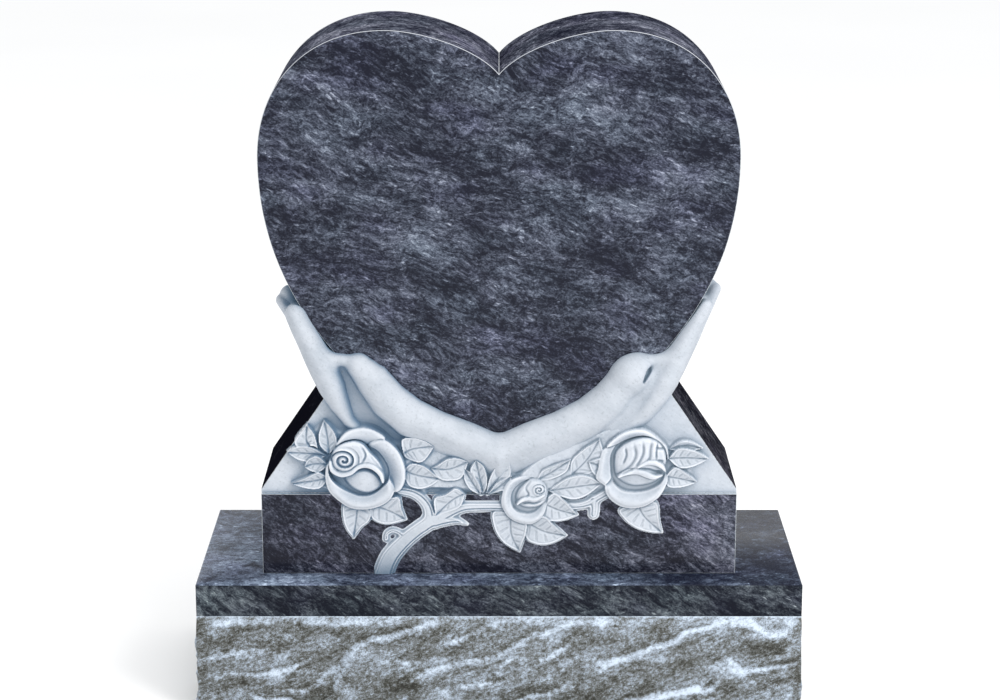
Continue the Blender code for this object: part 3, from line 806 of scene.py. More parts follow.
def surface_of(values, corner, cell):
    """Closed points and faces where a sampled field changes sign, one point in each crossed cell."""
    inside = values < 0
    shape = tuple(size - 1 for size in values.shape)
    corners = [(i, j, k) for i in (0, 1) for j in (0, 1) for k in (0, 1)]

    def at(samples, shift):
        return samples[tuple(slice(s, s + size) for s, size in zip(shift, shape))]

    total = np.zeros((*shape, 3), np.float32)
    count = np.zeros(shape, np.float32)
    for first in corners:
        for axis in range(3):
            if first[axis]:
                continue
            second = tuple(s + (a == axis) for a, s in enumerate(first))
            one, other = at(values, first), at(values, second)
            crossed = (one < 0) != (other < 0)
            share = np.where(crossed, one / np.where(crossed, one - other, 1.0), 0.0)
            count += crossed
            for a in range(3):
                total[..., a] += crossed * (first[a] + (share if a == axis else 0.0))
    active = count > 0
    number = np.full(shape, -1)
    number[active] = np.arange(active.sum())
    places = np.argwhere(active) + total[active] / count[active][:, None]
    points = np.array(corner) + places * cell
    faces = []
    for axis in range(3):
        low = np.take(inside, range(inside.shape[axis] - 1), axis)
        high = np.take(inside, range(1, inside.shape[axis]), axis)
        crossed = np.argwhere(low != high)
        one, other = [np.eye(3, dtype=int)[a] for a in range(3) if a != axis]
        ring = [crossed, crossed - one, crossed - one - other, crossed - other]
        faces.append(np.stack([number[tuple(cells.T)] for cells in ring], axis=1))
    return points, np.vstack(faces)


def hands_piece(frosted):
    """Both hands as one surface."""
    half = HEART_WIDTH / 2
    low = (-1.2 * half, GROUND - 0.08, HEART_TIP - 0.08 * HEART_HEIGHT)
    high = (1.2 * half, GROUND + 0.02 + 3 * FINGER_PITCH + 0.054, HEART_TIP + 0.54 * HEART_HEIGHT)
    field = Field(low, high, HAND_CELL)
    for sign, fullness in FULLNESS.items():
        add_fingers(field, sign, fullness)
        add_palm(field, sign)
        add_thumb(field, sign)
        add_valley(field, sign)
    cut_crease(field)
    points, faces = surface_of(field.values, low, HAND_CELL)
    item = mesh_object("hands", points, faces, (frosted,))
    turned_outward(item)
    soften = item.modifiers.new("soften", "SMOOTH")
    soften.factor = 0.5
    soften.iterations = 3
    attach(item, "root")


# The camera, and the carved spray that is placed through its picture.
CAMERA_PLACE = (0.0015, -3.8515, 1.5513)
CAMERA_TILT = 0.2613
CAMERA_LENS = 93.18
SENSOR = 36.0
PICTURE = (1000, 700)
PIXELS = CAMERA_LENS * PICTURE[0] / SENSOR
UNIT = 0.00151
CARVING_CELL = 0.0009
SUNK = -0.003
ROOT = 0.006
RIM_HEIGHT = 0.0066
RIM_WIDTH = 0.0026
BED_HEIGHT = 0.0050
BED_REACH = 9
SPRAY_CUTS = (-0.088, 0.0625)
WINDOW = 0.014
BUD_DROP = 0.0035
LEAF_HEIGHT = 0.0078
LEAF_FOLD = 0.0046
FOLD_CHANGE = 0.0014
VEIN_DEPTH = 0.0009
RIB_DEPTH = 0.0012
LEAF_RIM_CUT = 0.0007
DETAIL_DEPTH = 0.0009


def seen(across, down, proud):
    """The place that the camera sees at a point of its picture, on a plane that far proud of the ground."""
    slope = (PICTURE[1] / 2 - down) / PIXELS
    away = GROUND - proud - CAMERA_PLACE[1]
    cos, sin = math.cos(CAMERA_TILT), math.sin(CAMERA_TILT)
    up = CAMERA_PLACE[2] + away * (slope * cos - sin) / (cos + slope * sin)
    depth = away * cos - (up - CAMERA_PLACE[2]) * sin
    return CAMERA_PLACE[0] + (across - PICTURE[0] / 2) * depth / PIXELS, up


def curve_through(points, steps=6, closed=True):
    """A smooth line through the points given."""
    count = len(points)
    line = []
    for number in range(count if closed else count - 1):
        near = [number + k for k in (-1, 0, 1, 2)]
        near = [k % count if closed else min(max(k, 0), count - 1) for k in near]
        a, b, c, d = [np.array(points[k], float) for k in near]
        for step in range(steps):
            t = step / steps
            square = (2 * a - 5 * b + 4 * c - d) * t**2
            line.append(0.5 * (2 * b + (c - a) * t + square + (3 * b - a - 3 * c + d) * t**3))
    if not closed:
        line.append(np.array(points[-1], float))
    return np.array(line)


def placed(points, proud):
    """Points of the picture on a plane that far proud of the ground."""
    return np.array([seen(u, v, proud) for u, v in points])


class Relief:
    """A field of heights over the block's ground, on which shapes are laid back to front."""

    def __init__(self):
        half = BLOCK_WIDTH / 2
        self.across = np.arange(-half + 0.012, half - 0.012, CARVING_CELL)
        self.up = np.arange(BLOCK_FOOT + 0.0006, BLOCK_FOOT + 0.275, CARVING_CELL)
        self.height = np.full((len(self.across), len(self.up)), SUNK)
        self.covered = np.full_like(self.height, -1.0)

    def window(self, points, reach):
        """The part of the field within that reach of the points."""
        low = points.min(0) - reach
        high = points.max(0) + reach
        first = np.searchsorted(self.across, (low[0], high[0]))
        second = np.searchsorted(self.up, (low[1], high[1]))
        span = (slice(*first), slice(*second))
        x, z = np.meshgrid(self.across[span[0]], self.up[span[1]], indexing="ij")
        return span, x, z

    def lay(self, span, distance, surface, edge=0.0011):
        """Put a surface on the field wherever the distance inside its outline is above zero."""
        share = smooth(-edge / 2, edge / 2, distance)
        self.height[span] = self.height[span] * (1 - share) + surface * share
        self.covered[span] = np.maximum(self.covered[span], distance)


def to_line(x, z, line, closed=False):
    """Distance to a line, the nearest place along it, which side of it, and what a closed one holds."""
    ends = np.roll(line, -1, 0) if closed else line[1:]
    starts = line if closed else line[:-1]
    best = np.full_like(x, 9.0)
    place = np.zeros_like(x)
    side = np.zeros_like(x)
    odd = np.zeros(x.shape, bool)
    for number, (a, b) in enumerate(zip(starts, ends)):
        run = b - a
        off_x, off_z = x - a[0], z - a[1]
        share = np.clip((off_x * run[0] + off_z * run[1]) / max(run @ run, 1e-12), 0.0, 1.0)
        here = np.hypot(off_x - share * run[0], off_z - share * run[1])
        nearer = here < best
        place = np.where(nearer, (number + share) / len(starts), place)
        side = np.where(nearer, np.sign(run[0] * off_z - run[1] * off_x), side)
        best = np.minimum(best, here)
        if abs(run[1]) > 1e-12:
            odd ^= ((a[1] > z) != (b[1] > z)) & (x < a[0] + off_z * run[0] / run[1])
    return best, place, side, odd


def within(relief, line, reach=0.004):
    """The window round a closed line, with how far inside it each of its places is."""
    span, x, z = relief.window(line, reach)
    distance, _, _, inside = to_line(x, z, line, True)
    return span, x, z, np.where(inside, distance, -distance)


def petal(relief, points, proud, low, high, cup, near, far, roll=0.0024, roll_width=4.0):
    """A petal that rises from low to high between two distances from the middle of its cup."""
    span, x, z, distance = within(relief, placed(curve_through(points), proud))
    middle = seen(*cup, proud)
    radius = np.hypot(x - middle[0], z - middle[1]) / UNIT
    surface = between(low, high, smooth(near, far, radius))
    surface -= roll * (1.0 - smooth(0.0, roll_width * UNIT, distance)) ** 2
    relief.lay(span, distance, surface)


def dome(relief, points, proud, top, edge_height, apex, reach, swirl=None):
    """A closed bud, highest at its apex, with a spiral of petals wound round a centre."""
    span, x, z, distance = within(relief, placed(curve_through(points), proud))
    middle = seen(*apex, proud)
    radius = np.hypot(x - middle[0], z - middle[1]) / UNIT
    surface = top - (top - edge_height) * np.clip(radius / reach, 0.0, 1.2) ** 2
    if swirl:
        centre, pitch, depth, turns = swirl
        middle = seen(*centre, proud)
        off_x, off_z = (x - middle[0]) / UNIT, (z - middle[1]) / UNIT
        radius = np.hypot(off_x, off_z * 1.12)
        phase = radius / pitch - np.arctan2(off_z, off_x) / (2 * math.pi) + 0.3
        part = phase - np.floor(phase)
        fold = smooth(0.0, 0.16, part) * (1.0 - 0.85 * part**1.5)
        fading = 1.0 - smooth(turns * pitch * 0.85, turns * pitch * 1.15, radius)
        surface += depth * (fold - 0.5) * fading
    surface -= BUD_DROP * (1.0 - smooth(0.0, 4.5 * UNIT, distance)) ** 2
    relief.lay(span, distance, surface)


def ridge(relief, points, proud, widths, height, crown):
    """A round-backed band along a line; its widths are in the picture's units."""
    line = placed(curve_through(points, closed=False), proud)
    span, x, z = relief.window(line, WINDOW)
    distance, place, _, _ = to_line(x, z, line)
    half = np.interp(place, np.linspace(0, 1, len(widths)), widths) * UNIT / 2
    share = np.clip(distance / half, 0.0, 1.0)
    relief.lay(span, half - distance, height - crown * (1.0 - np.sqrt(1.0 - 0.96 * share**2)))


def stems(relief):
    """All the stems as one band, flat on top, with a cut line and a raised rim along its lower edge."""
    lines = [placed(curve_through(points, closed=False), STEM_PROUD) for points, _ in STEMS]
    span, x, z = relief.window(np.vstack(lines), WINDOW)
    outward = np.full_like(x, 9.0)
    lower = np.zeros(x.shape, bool)
    for line, (_, widths) in zip(lines, STEMS):
        distance, place, side, _ = to_line(x, z, line)
        here = distance - np.interp(place, np.linspace(0, 1, len(widths)), widths) * UNIT / 2
        lower = np.where(here < outward, side < 0, lower)
        outward = joined(here, outward, STEM_FILLET)
    inward = -outward
    surface = STEM_HEIGHT - STEM_DROP * (1.0 - smooth(0.0, 0.0045, inward)) ** 2
    cut = np.where(lower, *STEM_CUTS)
    surface -= cut * np.exp(-(((inward - 0.0044) / 0.0010) ** 2))
    surface += 0.5 * cut * np.exp(-(((inward - 0.0022) / 0.0010) ** 2))
    relief.lay(span, inward, surface)


def crease(relief, points, proud, width, depth):
    """A cut line that fades out at both ends."""
    line = placed(curve_through(points, closed=False), proud)
    span, x, z = relief.window(line, 0.008)
    distance, place, _, _ = to_line(x, z, line)
    taper = smooth(0.0, 0.25, place) * smooth(0.0, 0.25, 1.0 - place) * 0.7 + 0.3
    relief.height[span] -= depth * taper * np.exp(-((distance / (width * UNIT)) ** 2))


def leaf(relief, foot, one, tip, other, lift, rise, veins):
    """A leaf between its two edges, folded along its rib, with veins slanting out and a raised rim."""
    proud = 0.010 + lift + 0.5 * rise
    first = curve_through([foot, *one, tip], closed=False)
    second = curve_through([tip, *other[::-1], foot], closed=False)
    span, x, z, distance = within(relief, placed(np.vstack([first[:-1], second[:-1]]), proud))
    middle = np.mean([first[len(first) // 2], second[len(second) // 2]], axis=0)
    rib = placed(curve_through([foot, middle, tip], closed=False), proud)
    off, place, side, _ = to_line(x, z, rib)
    inner = np.clip(distance, 0.0, None)
    out = off / (off + inner + 1e-5)
    lying = smooth(0.0, 0.6, abs(tip[0] - foot[0]) / (abs(tip[1] - foot[1]) + 1.0))
    fold = LEAF_FOLD + FOLD_CHANGE * side * np.sign(rib[-1][0] - rib[0][0]) * lying
    surface = LEAF_HEIGHT + lift + rise * place**1.5
    surface += fold * out**1.1 * np.sin(math.pi * np.clip(place, 0.08, 0.92)) ** 0.5
    wave = np.cos(2 * math.pi * (place * veins - 0.8 * out))
    inside = smooth(0.06, 0.25, out) * smooth(0.0034, 0.0056, inner)
    surface -= VEIN_DEPTH * smooth(0.30, 1.0, wave) * inside
    surface -= RIB_DEPTH * np.exp(-((off / 0.0012) ** 2)) * smooth(0.0, 0.003, inner)
    surface -= LEAF_RIM_CUT * np.exp(-(((inner - 0.0034) / 0.0009) ** 2))
    relief.lay(span, distance, surface)


# Low ground that fills the gaps between the leaves, in the picture, and its height.
MOUNDS = (
    (((518, 480), (533, 462), (560, 447), (590, 434), (617, 426), (627, 440), (612, 460), (611, 484),
      (575, 491), (545, 489)), 0.0105),
    (((402, 464), (430, 448), (470, 452), (500, 460), (514, 468), (507, 482), (490, 488), (460, 490),
      (430, 489), (404, 486)), 0.0090),
)

STEM_HEIGHT = 0.0108
STEM_PROUD = 0.009
STEM_DROP = 0.0030
STEM_CUTS = (0.0019, 0.0008)
STEM_FILLET = 0.004
# Each stem's line in the picture and its widths along it.
STEMS = (
    (
        ((383, 575), (390, 557.5), (403.5, 542), (418, 530), (432, 521), (447, 514), (463, 508), (480, 507),
         (504, 507)),
        (19, 18.5, 16.5, 15.5, 15.5, 12.5, 10, 9.2, 9),
    ),
    (
        ((424, 528), (429, 517), (427.5, 507), (421, 498.5), (412, 493), (400, 490.5)),
        (10, 11.5, 10.5, 10, 9.5, 9),
    ),
    (((404, 538), (399, 532.8), (392.5, 530.8), (387.3, 533.6), (386.2, 539.0)), (5, 5.6, 5.6, 5.2, 5.6)),
    (((436, 522), (450, 520.5), (459, 521.5), (467, 524.4)), (13, 9, 6, 1.0)),
    (((560, 505), (576, 506), (588, 503.5), (598, 498), (610, 491)), (8, 8, 9, 9, 9)),
    (((593.5, 501), (594, 508), (593.4, 514.5)), (10, 9.5, 9)),
)

# Leaves in the picture: foot, one edge, tip, the other edge; lift and the tip's rise in mm; veins.
LEAVES = (
    ((318, 451), ((313, 446), (297.5, 447), (295, 440)), (307, 425), ((317, 443), (314, 433)), 0.4, 1, 5),
    ((329, 455), ((320, 446), (318.6, 434)), (323.8, 420), ((337, 444), (334, 431)), 1.2, 1, 4),
    ((327, 456), ((312, 447), (296, 446.5)), (286.5, 453), ((313, 462), (298, 460)), 0.6, 0, 5),
    ((329, 465), ((318, 456), (308, 459)), (303.8, 467.5), ((320, 472), (311, 471.5)), 1.2, 0, 4),
    ((329, 478), ((319, 472), (308, 476)), (290, 484.3), ((321, 488), (308, 489)), 1.6, 0, 6),
    ((358, 502), ((344, 504), (343, 517), (346.5, 529)), (353.5, 538.5),
     ((371, 507), (369.5, 520), (361, 528)), 0.2, 0, 5),
    ((372, 505), ((397, 496), (401.5, 508)), (406, 520), ((371, 517), (379.5, 523), (391, 524)), 0.8, 0, 5),
    ((403, 455), ((401.5, 440), (412, 437), (425, 440)), (435, 446), ((407, 460), (422.5, 462)), 0.5, 8, 5),
    ((403, 471), ((411, 463.5), (425, 466)), (440, 479.3),
     ((408, 485), (419.5, 489), (431, 486)), 1.2, 0, 5),
    ((430.5, 469), ((438, 464.5), (447, 458.5), (458, 457.6)), (469, 461.5),
     ((440, 479.5), (451, 481), (462, 477.5)), 1.8, 3, 5),
    ((465, 494), ((456, 488), (445, 494), (434, 498.5)), (435.5, 516),
     ((463, 502), (458.5, 508), (447, 512.5)), 1.2, 0, 5),
    ((483, 496), ((474, 484), (470, 470)), (475.5, 459),
     ((487, 487), (487, 476), (483.5, 465)), 0.6, 13, 5),
    ((481, 496), ((470, 490), (464, 479)), (464.5, 469), ((480, 485), (472.5, 473)), 1.6, 2, 4),
    ((486, 496), ((489, 480), (496, 466)), (509, 458.5),
     ((501, 487), (509.5, 479), (511, 469)), 0.8, 15, 5),
    ((487, 496), ((495, 484), (503, 479)), (512, 475.5), ((499, 492), (508, 488)), 1.8, 3, 4),
    ((537, 481), ((542, 471), (554, 465)), (571, 459.5), ((550, 480), (566, 472)), 0.6, 5, 5),
    ((571, 477), ((571, 462), (583, 449)), (599.5, 439), ((590, 474), (601, 462), (603, 451)), 0.4, 6, 5),
    ((614, 480), ((600, 478), (592, 472)), (588.5, 462), ((613, 466), (602, 458)), 1.4, 4, 4),
    ((548, 491.5), ((557, 484), (568, 477.5), (581, 475), (592, 477.5)), (602, 484),
     ((563, 497.5), (575, 499.5), (588, 495)), 2.0, 1, 6),
    ((542, 503), ((553.5, 493), (564, 499.5), (570, 506)), (577.5, 515.3),
     ((542, 516), (552, 521.3), (566, 520)), 1.2, 0, 6),
    ((524, 521), ((543.5, 516), (554, 525)), (566.3, 536),
     ((526, 538), (534, 543.5), (545, 545), (556, 542)), 0.6, 0, 6),
    ((511, 513), ((493.5, 512), (494, 527), (501, 540), (510.5, 547.5)), (519.5, 552),
     ((526, 522), (525.5, 535), (523, 542)), 1.0, 0, 6),
    ((668, 450), ((680, 441.5), (692, 442)), (704, 449), ((680, 451), (692, 451)), 0.4, 0, 4),
    ((668, 459), ((678, 448.5), (695, 450.5)), (709.5, 459.5), ((679, 468), (693, 467)), 1.2, 0, 6),
    ((665, 477), ((674.5, 467), (688, 474)), (697.8, 483), ((668, 487), (682, 487.5)), 1.2, 0, 6),
    ((637, 503), ((619.5, 510), (626, 521), (637, 528.5), (650, 532.3)), (662, 533),
     ((656, 502), (659, 520)), 0.8, 0, 6),
)


def rose_left(relief):
    """The full rose on the left: three petals round a bowl, a ball in it and a wound bud above."""
    cup = (362.6, 477)
    back = (
        (336, 446), (340.5, 437.5), (347, 431.5), (356, 428.3), (366, 427.5), (376, 430.6), (385, 436.5),
        (383, 442), (373, 446), (366, 446), (358, 442), (350, 443), (342, 448),
    )
    petal(relief, back, 0.016, 0.0105, 0.0190, cup, 30, 46)
    right = (
        (368, 446.1), (373, 441), (381, 438.5), (389, 441.5), (397, 449), (402.6, 459), (405.3, 470),
        (405, 481), (401, 489.5), (394, 492.5), (386, 486), (380, 470), (372, 455),
    )
    petal(relief, right, 0.016, 0.0080, 0.0195, cup, 24, 40)
    bowl = (
        (326.5, 466), (325.3, 479), (328, 490.4), (336.5, 499.6), (347.7, 507.2), (360, 510),
        (373, 508.7), (384, 504.5), (391.5, 498), (394.6, 490), (391, 481), (380, 466), (357, 455),
        (336, 457),
    )
    petal(relief, bowl, 0.016, 0.0080, 0.0205, cup, 15, 30, 0.004, 7)
    hollow = (
        (329, 468), (332.3, 477.5), (341, 486), (351, 492), (362, 495.4), (373.5, 493), (383, 485.5),
        (388.5, 478), (388.2, 468), (383, 458), (376.6, 450), (368, 445.6), (359.5, 439.6), (349.6, 439),
        (339.7, 443), (332, 453),
    )
    petal(relief, hollow, 0.010, 0.0055, 0.0065, cup, 5, 30, 0.0)
    ball = (
        (341, 475), (351, 471), (364.5, 468.5), (375, 472), (382, 480), (380, 489), (368, 494),
        (355, 490.5), (346, 484),
    )
    dome(relief, ball, 0.017, 0.0205, 0.0120, (365, 479), 19)
    bud = (
        (334.5, 473), (330.5, 464.5), (331.8, 454.6), (337, 447.1), (345.9, 442.6), (355.8, 441.4),
        (363.4, 444.5), (370.5, 452.8), (378, 461), (383, 470.6), (383.8, 478.1), (373, 470), (362, 468),
        (350, 474), (341, 476),
    )
    dome(relief, bud, 0.020, 0.0255, 0.0165, (347, 459), 42, ((344, 459.5), 5.6, 0.0062, 2.7))
    lip = (
        (330.4, 462), (332.4, 470), (340.5, 474.5), (350, 472.8), (357, 467.6), (364.4, 465.2),
        (373, 467.4), (380.4, 474), (382.8, 482),
    )
    ridge(relief, lip, 0.022, (3.5, 5.5, 6.0, 6.0, 5.5, 6.0, 6.0, 5.5, 3.0), 0.0252, 0.0042)
    crease(relief, ((361, 446), (365.5, 455), (362, 463)), 0.022, 1.1, 0.0028)
    crease(relief, ((371, 456), (374, 461), (379.5, 467)), 0.022, 1.0, 0.0016)


def rose_middle(relief):
    """The small rose: one round petal and a bud in its hollow."""
    cup = (529.2, 496.5)
    outer = (
        (511.8, 478.9), (521.9, 476.5), (531.6, 477.8), (541.3, 482.5), (547.8, 488), (548, 497.7),
        (545.5, 509.8), (541.2, 518), (534.7, 523), (528, 524.6), (517.1, 522.4), (508.6, 517.3),
        (503.3, 509.8), (501.1, 502.5), (502.2, 492.9), (505.8, 484.4),
    )
    petal(relief, outer, 0.013, 0.0080, 0.0170, cup, 14, 25, 0.003, 5)
    hollow = (
        (530.4, 479), (519.5, 483.8), (512.2, 492), (511.4, 502.5), (516.6, 510), (526.8, 513),
        (535.4, 511), (542, 504), (546.4, 495.3), (545, 485.6), (537.7, 480.1),
    )
    petal(relief, hollow, 0.009, 0.0060, 0.0066, cup, 4, 20, 0.0)
    bud = (
        (531, 479.5), (538.3, 479.8), (545, 484.6), (547.4, 492.9), (545.8, 500.5), (540.5, 506),
        (531.6, 508.6), (523.1, 507.6), (517.9, 504), (516, 497.7), (518.7, 490.6), (524.1, 484.8),
    )
    dome(relief, bud, 0.014, 0.0185, 0.0110, (534, 492), 21, ((539, 489.4), 3.3, 0.0036, 2.1))
    lip = ((517.2, 504), (521.9, 500.2), (528, 498.2), (535.3, 499), (544, 495))
    ridge(relief, lip, 0.016, (2, 4.2, 5, 5, 2.5), 0.0200, 0.0035)
    crease(relief, ((521, 504.6), (528, 502.8), (535, 503.4), (544, 500)), 0.015, 1.2, 0.0036)
    crease(relief, ((530.5, 482), (526.0, 488), (528.5, 494), (526, 497)), 0.016, 1.1, 0.0022)


def rose_right(relief):
    """The full rose on the right: three petals round a bud with upright folds."""
    cup = (637, 464)
    back = (
        (606.5, 447), (616, 437.1), (627.2, 430.8), (640.2, 429), (650, 432), (661.5, 441), (667.6, 449),
        (667, 462), (650, 452), (630, 450), (617, 452),
    )
    petal(relief, back, 0.016, 0.0100, 0.0205, cup, 24, 36, 0.0025, 5)
    collar = (
        (604, 449), (614, 445.6), (624, 444.7), (624, 458), (620, 471), (622, 484), (611, 489),
        (603.5, 485), (596, 478.5), (598, 468.7), (600, 458),
    )
    petal(relief, collar, 0.015, 0.0080, 0.0190, cup, 22, 38, 0.003, 6)
    bowl = (
        (604.8, 486.6), (607.5, 496.6), (615.5, 503.9), (622.5, 507.3), (632, 508.6), (641.4, 507.5),
        (650, 503.9), (658.8, 497.5), (665.3, 488.2), (668, 478), (661.5, 472), (642.6, 468), (619, 472),
        (609.6, 481),
    )
    petal(relief, bowl, 0.016, 0.0080, 0.0205, cup, 24, 41, 0.004, 7)
    hollow = (
        (611, 454.6), (616.6, 445), (626.1, 439.5), (642.6, 435), (654.4, 438.2), (664, 447.5),
        (667, 459.3), (664.8, 473.6), (659.5, 483), (647.3, 489.6), (633.1, 491.4), (620.8, 488.6),
        (612.4, 479.4), (610.4, 466.3),
    )
    petal(relief, hollow, 0.009, 0.0050, 0.0056, cup, 5, 30, 0.0)
    bud = (
        (618, 450.8), (625.1, 444.6), (635.5, 440), (647.3, 438), (657.9, 441.2), (665.4, 449.8),
        (666.6, 461.6), (663, 472.8), (656.5, 482.5), (645.2, 486.6), (633.1, 487.6), (622.6, 483.6),
        (616.2, 476.6), (615, 465), (615.8, 455.7),
    )
    dome(relief, bud, 0.019, 0.0250, 0.0150, (641, 457), 28)
    for fold, width in (
        (((625.5, 448), (626.5, 456), (623.0, 465)), 1.2),
        (((634, 444), (636.0, 455), (631.5, 465), (624.0, 472.5)), 1.7),
        (((643.0, 442), (643.6, 452), (640.0, 461), (635.5, 467)), 1.5),
        (((652.5, 441.5), (650.6, 450), (650.0, 457), (647.0, 463)), 1.7),
        (((658, 443.5), (656.5, 452), (656.5, 460)), 1.0),
    ):
        crease(relief, fold, 0.022, width, 0.0030)
    upper = ((638, 467.6), (646, 463.4), (654.4, 463), (661.3, 466.4), (665.2, 471))
    ridge(relief, upper, 0.023, (2, 5, 5.5, 5, 2), 0.0262, 0.0036)
    lower = ((618.4, 477.2), (627.4, 472.8), (637.9, 471.4), (646.1, 474.4), (654, 477.2), (662, 475.2))
    ridge(relief, lower, 0.022, (2, 5.5, 7, 7, 5.5, 2), 0.0250, 0.0040)
    crease(relief, ((619.6, 475.6), (627.1, 471.4), (634, 468.6)), 0.021, 1.2, 0.0038)
    crease(relief, ((639.5, 468.6), (648.5, 469.4), (655.4, 472.0), (662.5, 472.6)), 0.022, 1.3, 0.0042)
    crease(relief, ((656.5, 449), (664, 449.8)), 0.022, 1.4, 0.0034)
    crease(relief, ((657.5, 461.0), (664, 462.5)), 0.022, 1.3, 0.0030)


def lay_ground(relief):
    """The low ground round the carving, a thin rim on the strip, and pitted mounds between the leaves."""
    on_strip = 1.0 - smooth(STRIP_TOP - 0.001, STRIP_TOP + 0.001, relief.up)[None, :]
    rim = smooth(-RIM_WIDTH - 0.0008, -RIM_WIDTH, relief.covered) * on_strip
    bed = blurred((relief.covered > 0).astype(float), BED_REACH)
    slope = STRIP_TOP + (BLOCK_WIDTH / 2 - np.abs(relief.across)) * math.tan(SHOULDER_SLOPE)
    room = (slope[:, None] - relief.up[None, :]) * math.cos(SHOULDER_SLOPE)
    bed = smooth(0.10, 0.55, bed) * (1.0 - on_strip) * smooth(0.004, 0.014, room)
    relief.height = SUNK + (RIM_HEIGHT - SUNK) * rim + (BED_HEIGHT - SUNK) * bed
    grain = lattice(71)
    for points, height in MOUNDS:
        span, x, z, distance = within(relief, placed(curve_through(points), 0.010), 0.006)
        share = smooth(-0.005, 0.005, distance)
        pitted = height + 0.0022 * (layered(grain, x * 110, z * 110, 0 * x, 3) - 0.5)
        relief.height[span] = between(relief.height[span], pitted, share)


def lay_spray(relief):
    """Everything carved, from the back to the front."""
    stems(relief)
    for foot, one, tip, other, lift, rise, veins in LEAVES:
        leaf(relief, foot, one, tip, other, lift / 1000, rise / 1000, veins)
    rose_left(relief)
    rose_middle(relief)
    rose_right(relief)


def spray_pieces(frosted):
    """The carving from one field of heights, as three closed shells side by side."""
    relief = Relief()
    lay_spray(relief)
    lay_ground(relief)
    lay_spray(relief)
    height = relief.height
    # The detail attribute is each place's height above the blurred relief; the material paints highlights
    # where it is positive and shade where it is negative.
    detail = np.clip((height - blurred(height, 2)) / DETAIL_DEPTH, -1.0, 1.0)
    used = height > SUNK + 1e-4
    cell = used[:-1, :-1] | used[1:, :-1] | used[:-1, 1:] | used[1:, 1:]
    x, z = np.meshgrid(relief.across, relief.up, indexing="ij")
    front = np.stack([x, GROUND - height, z], axis=-1).reshape(-1, 3)
    back = front.copy()
    back[:, 1] = GROUND + ROOT
    points = np.vstack([front, back])
    cuts = [0, *[int(np.searchsorted(relief.across, cut)) for cut in SPRAY_CUTS], cell.shape[0]]
    for name, start, end in zip(("spray_left", "spray_middle", "spray_right"), cuts, cuts[1:]):
        part = np.zeros_like(cell)
        part[start:end] = cell[start:end]
        faces = shell_faces(part, height.shape)
        kept, faces = np.unique(faces, return_inverse=True)
        item = mesh_object(name, points[kept], faces.reshape(-1, 4), (frosted,), None, 62)
        turned_outward(item)
        add_attribute(item, "detail", np.concatenate([detail.ravel(), 0 * detail.ravel()])[kept])
        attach(item, "root")


def shell_faces(cell, shape):
    """Front, back and edge faces of a slab of grid cells."""
    count = shape[0] * shape[1]
    number = np.arange(count).reshape(shape)
    a, b, c, d = number[:-1, :-1][cell], number[1:, :-1][cell], number[1:, 1:][cell], number[:-1, 1:][cell]
    faces = [np.stack([a, b, c, d], 1), np.stack([a, d, c, b], 1) + count]
    padded = np.pad(cell, 1)
    sides = (
        ((-1, 0), (0, 1), (0, 0)),
        ((1, 0), (1, 0), (1, 1)),
        ((0, -1), (0, 0), (1, 0)),
        ((0, 1), (1, 1), (0, 1)),
    )
    for shift, first, second in sides:
        beside = np.roll(padded, (-shift[0], -shift[1]), (0, 1))[1:-1, 1:-1]
        places = np.argwhere(cell & ~beside)
        one = number[places[:, 0] + first[0], places[:, 1] + first[1]]
        two = number[places[:, 0] + second[0], places[:, 1] + second[1]]
        faces.append(np.stack([one, one + count, two + count, two], 1))
    return np.vstack(faces)


# The stage: each light's name, place, size, power and colour, and the place that both point at.
LIGHTS = (
    ("key", (2.2, -2.4, 3.0), 1.6, 80, (1.0, 0.99, 0.97)),
    ("top", (0.4, -0.6, 4.0), 1.8, 30, (1.0, 0.99, 0.98)),
)
LIT_PLACE = (0.0, 0.0, 0.55)


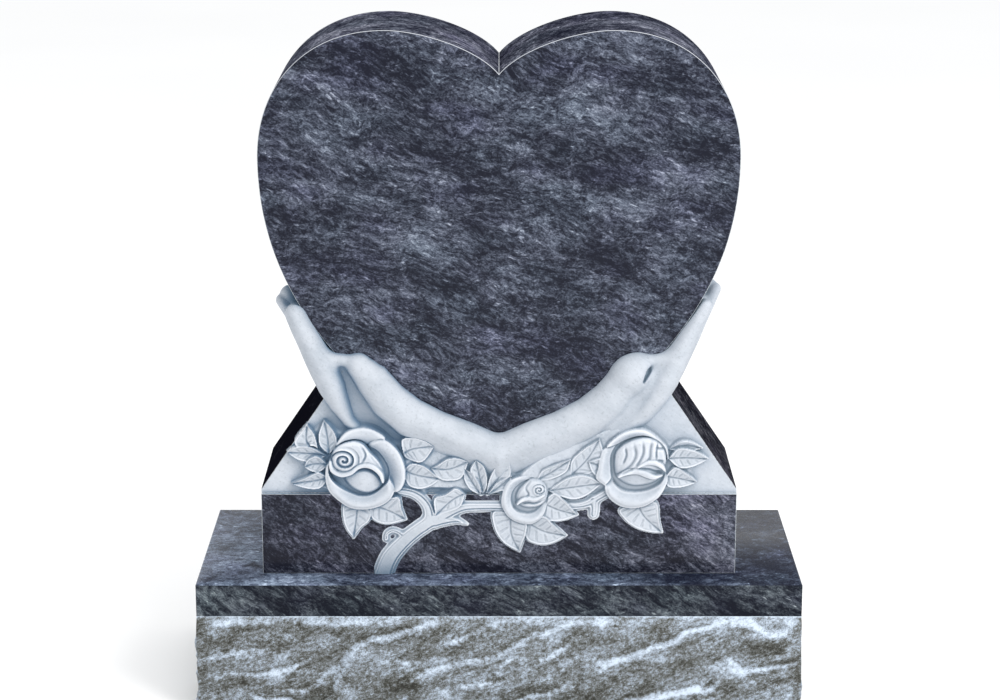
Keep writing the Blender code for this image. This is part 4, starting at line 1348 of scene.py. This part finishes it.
def stage():
    """A plain pale floor, a soft white sky, two soft lights and the camera at the photo's angle."""
    corners = [(-30, -30, 0), (30, -30, 0), (30, 30, 0), (-30, 30, 0)]
    floor = mesh_object("floor", corners, [(0, 1, 2, 3)], ())
    n = Nodes("pale floor")
    pale = n.ramp(n.noise((0.6, 0.6, 0.6), 2.0, 0.55), (0.3, (0.96, 0.96, 0.96)), (0.7, (0.98, 0.98, 0.98)))
    floor.data.materials.append(n.finish(pale, 0.9, None, 0.0))
    world = bpy.context.scene.world or bpy.data.worlds.new("World")
    bpy.context.scene.world = world
    world.use_nodes = True
    sky = world.node_tree.nodes["Background"]
    sky.inputs["Color"].default_value = (0.985, 0.992, 1.0, 1.0)
    sky.inputs["Strength"].default_value = 1.0
    for name, place, size, power, colour in LIGHTS:
        data = bpy.data.lights.new(name, "AREA")
        data.shape = "SQUARE"
        data.size = size
        data.energy = power
        data.color = colour
        item = in_scene(name, data)
        item.location = place
        aim = np.array(LIT_PLACE) - np.array(place)
        item.rotation_euler = (
            math.atan2(math.hypot(aim[0], aim[1]), -aim[2]),
            0.0,
            math.atan2(aim[1], aim[0]) - math.pi / 2,
        )
    view = bpy.data.cameras.new("camera")
    view.lens = CAMERA_LENS
    view.sensor_width = SENSOR
    camera = in_scene("camera", view)
    camera.location = CAMERA_PLACE
    camera.rotation_euler = (math.pi / 2 - CAMERA_TILT, 0.0, 0.0)
    bpy.context.scene.camera = camera
    bpy.context.scene.view_settings.view_transform = "Standard"


FACE = polished_granite("polished granite", (0.99, 1.02, 1.12), -0.006, 14)
# The strip is painted lighter toward the right: painted light.
STRIP = polished_granite("polished strip", (1.02, 0.99, 1.08), -0.004, 26, painted_light_to_right=0.12)
SIDES = polished_granite("polished sides", (1.20, 1.15, 1.20), 0.03, 18, 0.9, 0.0, (0.30, 0.42))
# The slopes are a darker, browner copy of the stone, painted shade, and are painted lighter toward the
# right.
SLOPES = polished_granite("polished slopes", (0.55, 0.50, 0.50), -0.08, 18, 0.8, 0.0, (0.30, 0.42), 0.45)
# The base top is a lighter, bluer copy of the stone, a painted reflection of the sky, and is painted lighter
# toward the left.
TOP = polished_granite("polished base top", (1.25, 1.42, 1.62), 0.09, 8, 0.6, 0.10, (0.22, 0.36), -0.16)
BAND = polished_granite("honed margin", (1.02, 1.08, 1.00), 0.01, 32, 0.75, 0.05, (0.35, 0.5))
FROSTED = frosted_granite("frosted granite")
base_piece(TOP, BAND, rock_granite("split granite"))
slab_piece((FACE, FROSTED, STRIP, arris_granite("arris"), SIDES, SLOPES))
# The hands get a copy of the frosted stone made 7% darker: painted shade.
hands_piece(frosted_granite("frosted hands", 0.93))
spray_pieces(FROSTED)
stage()
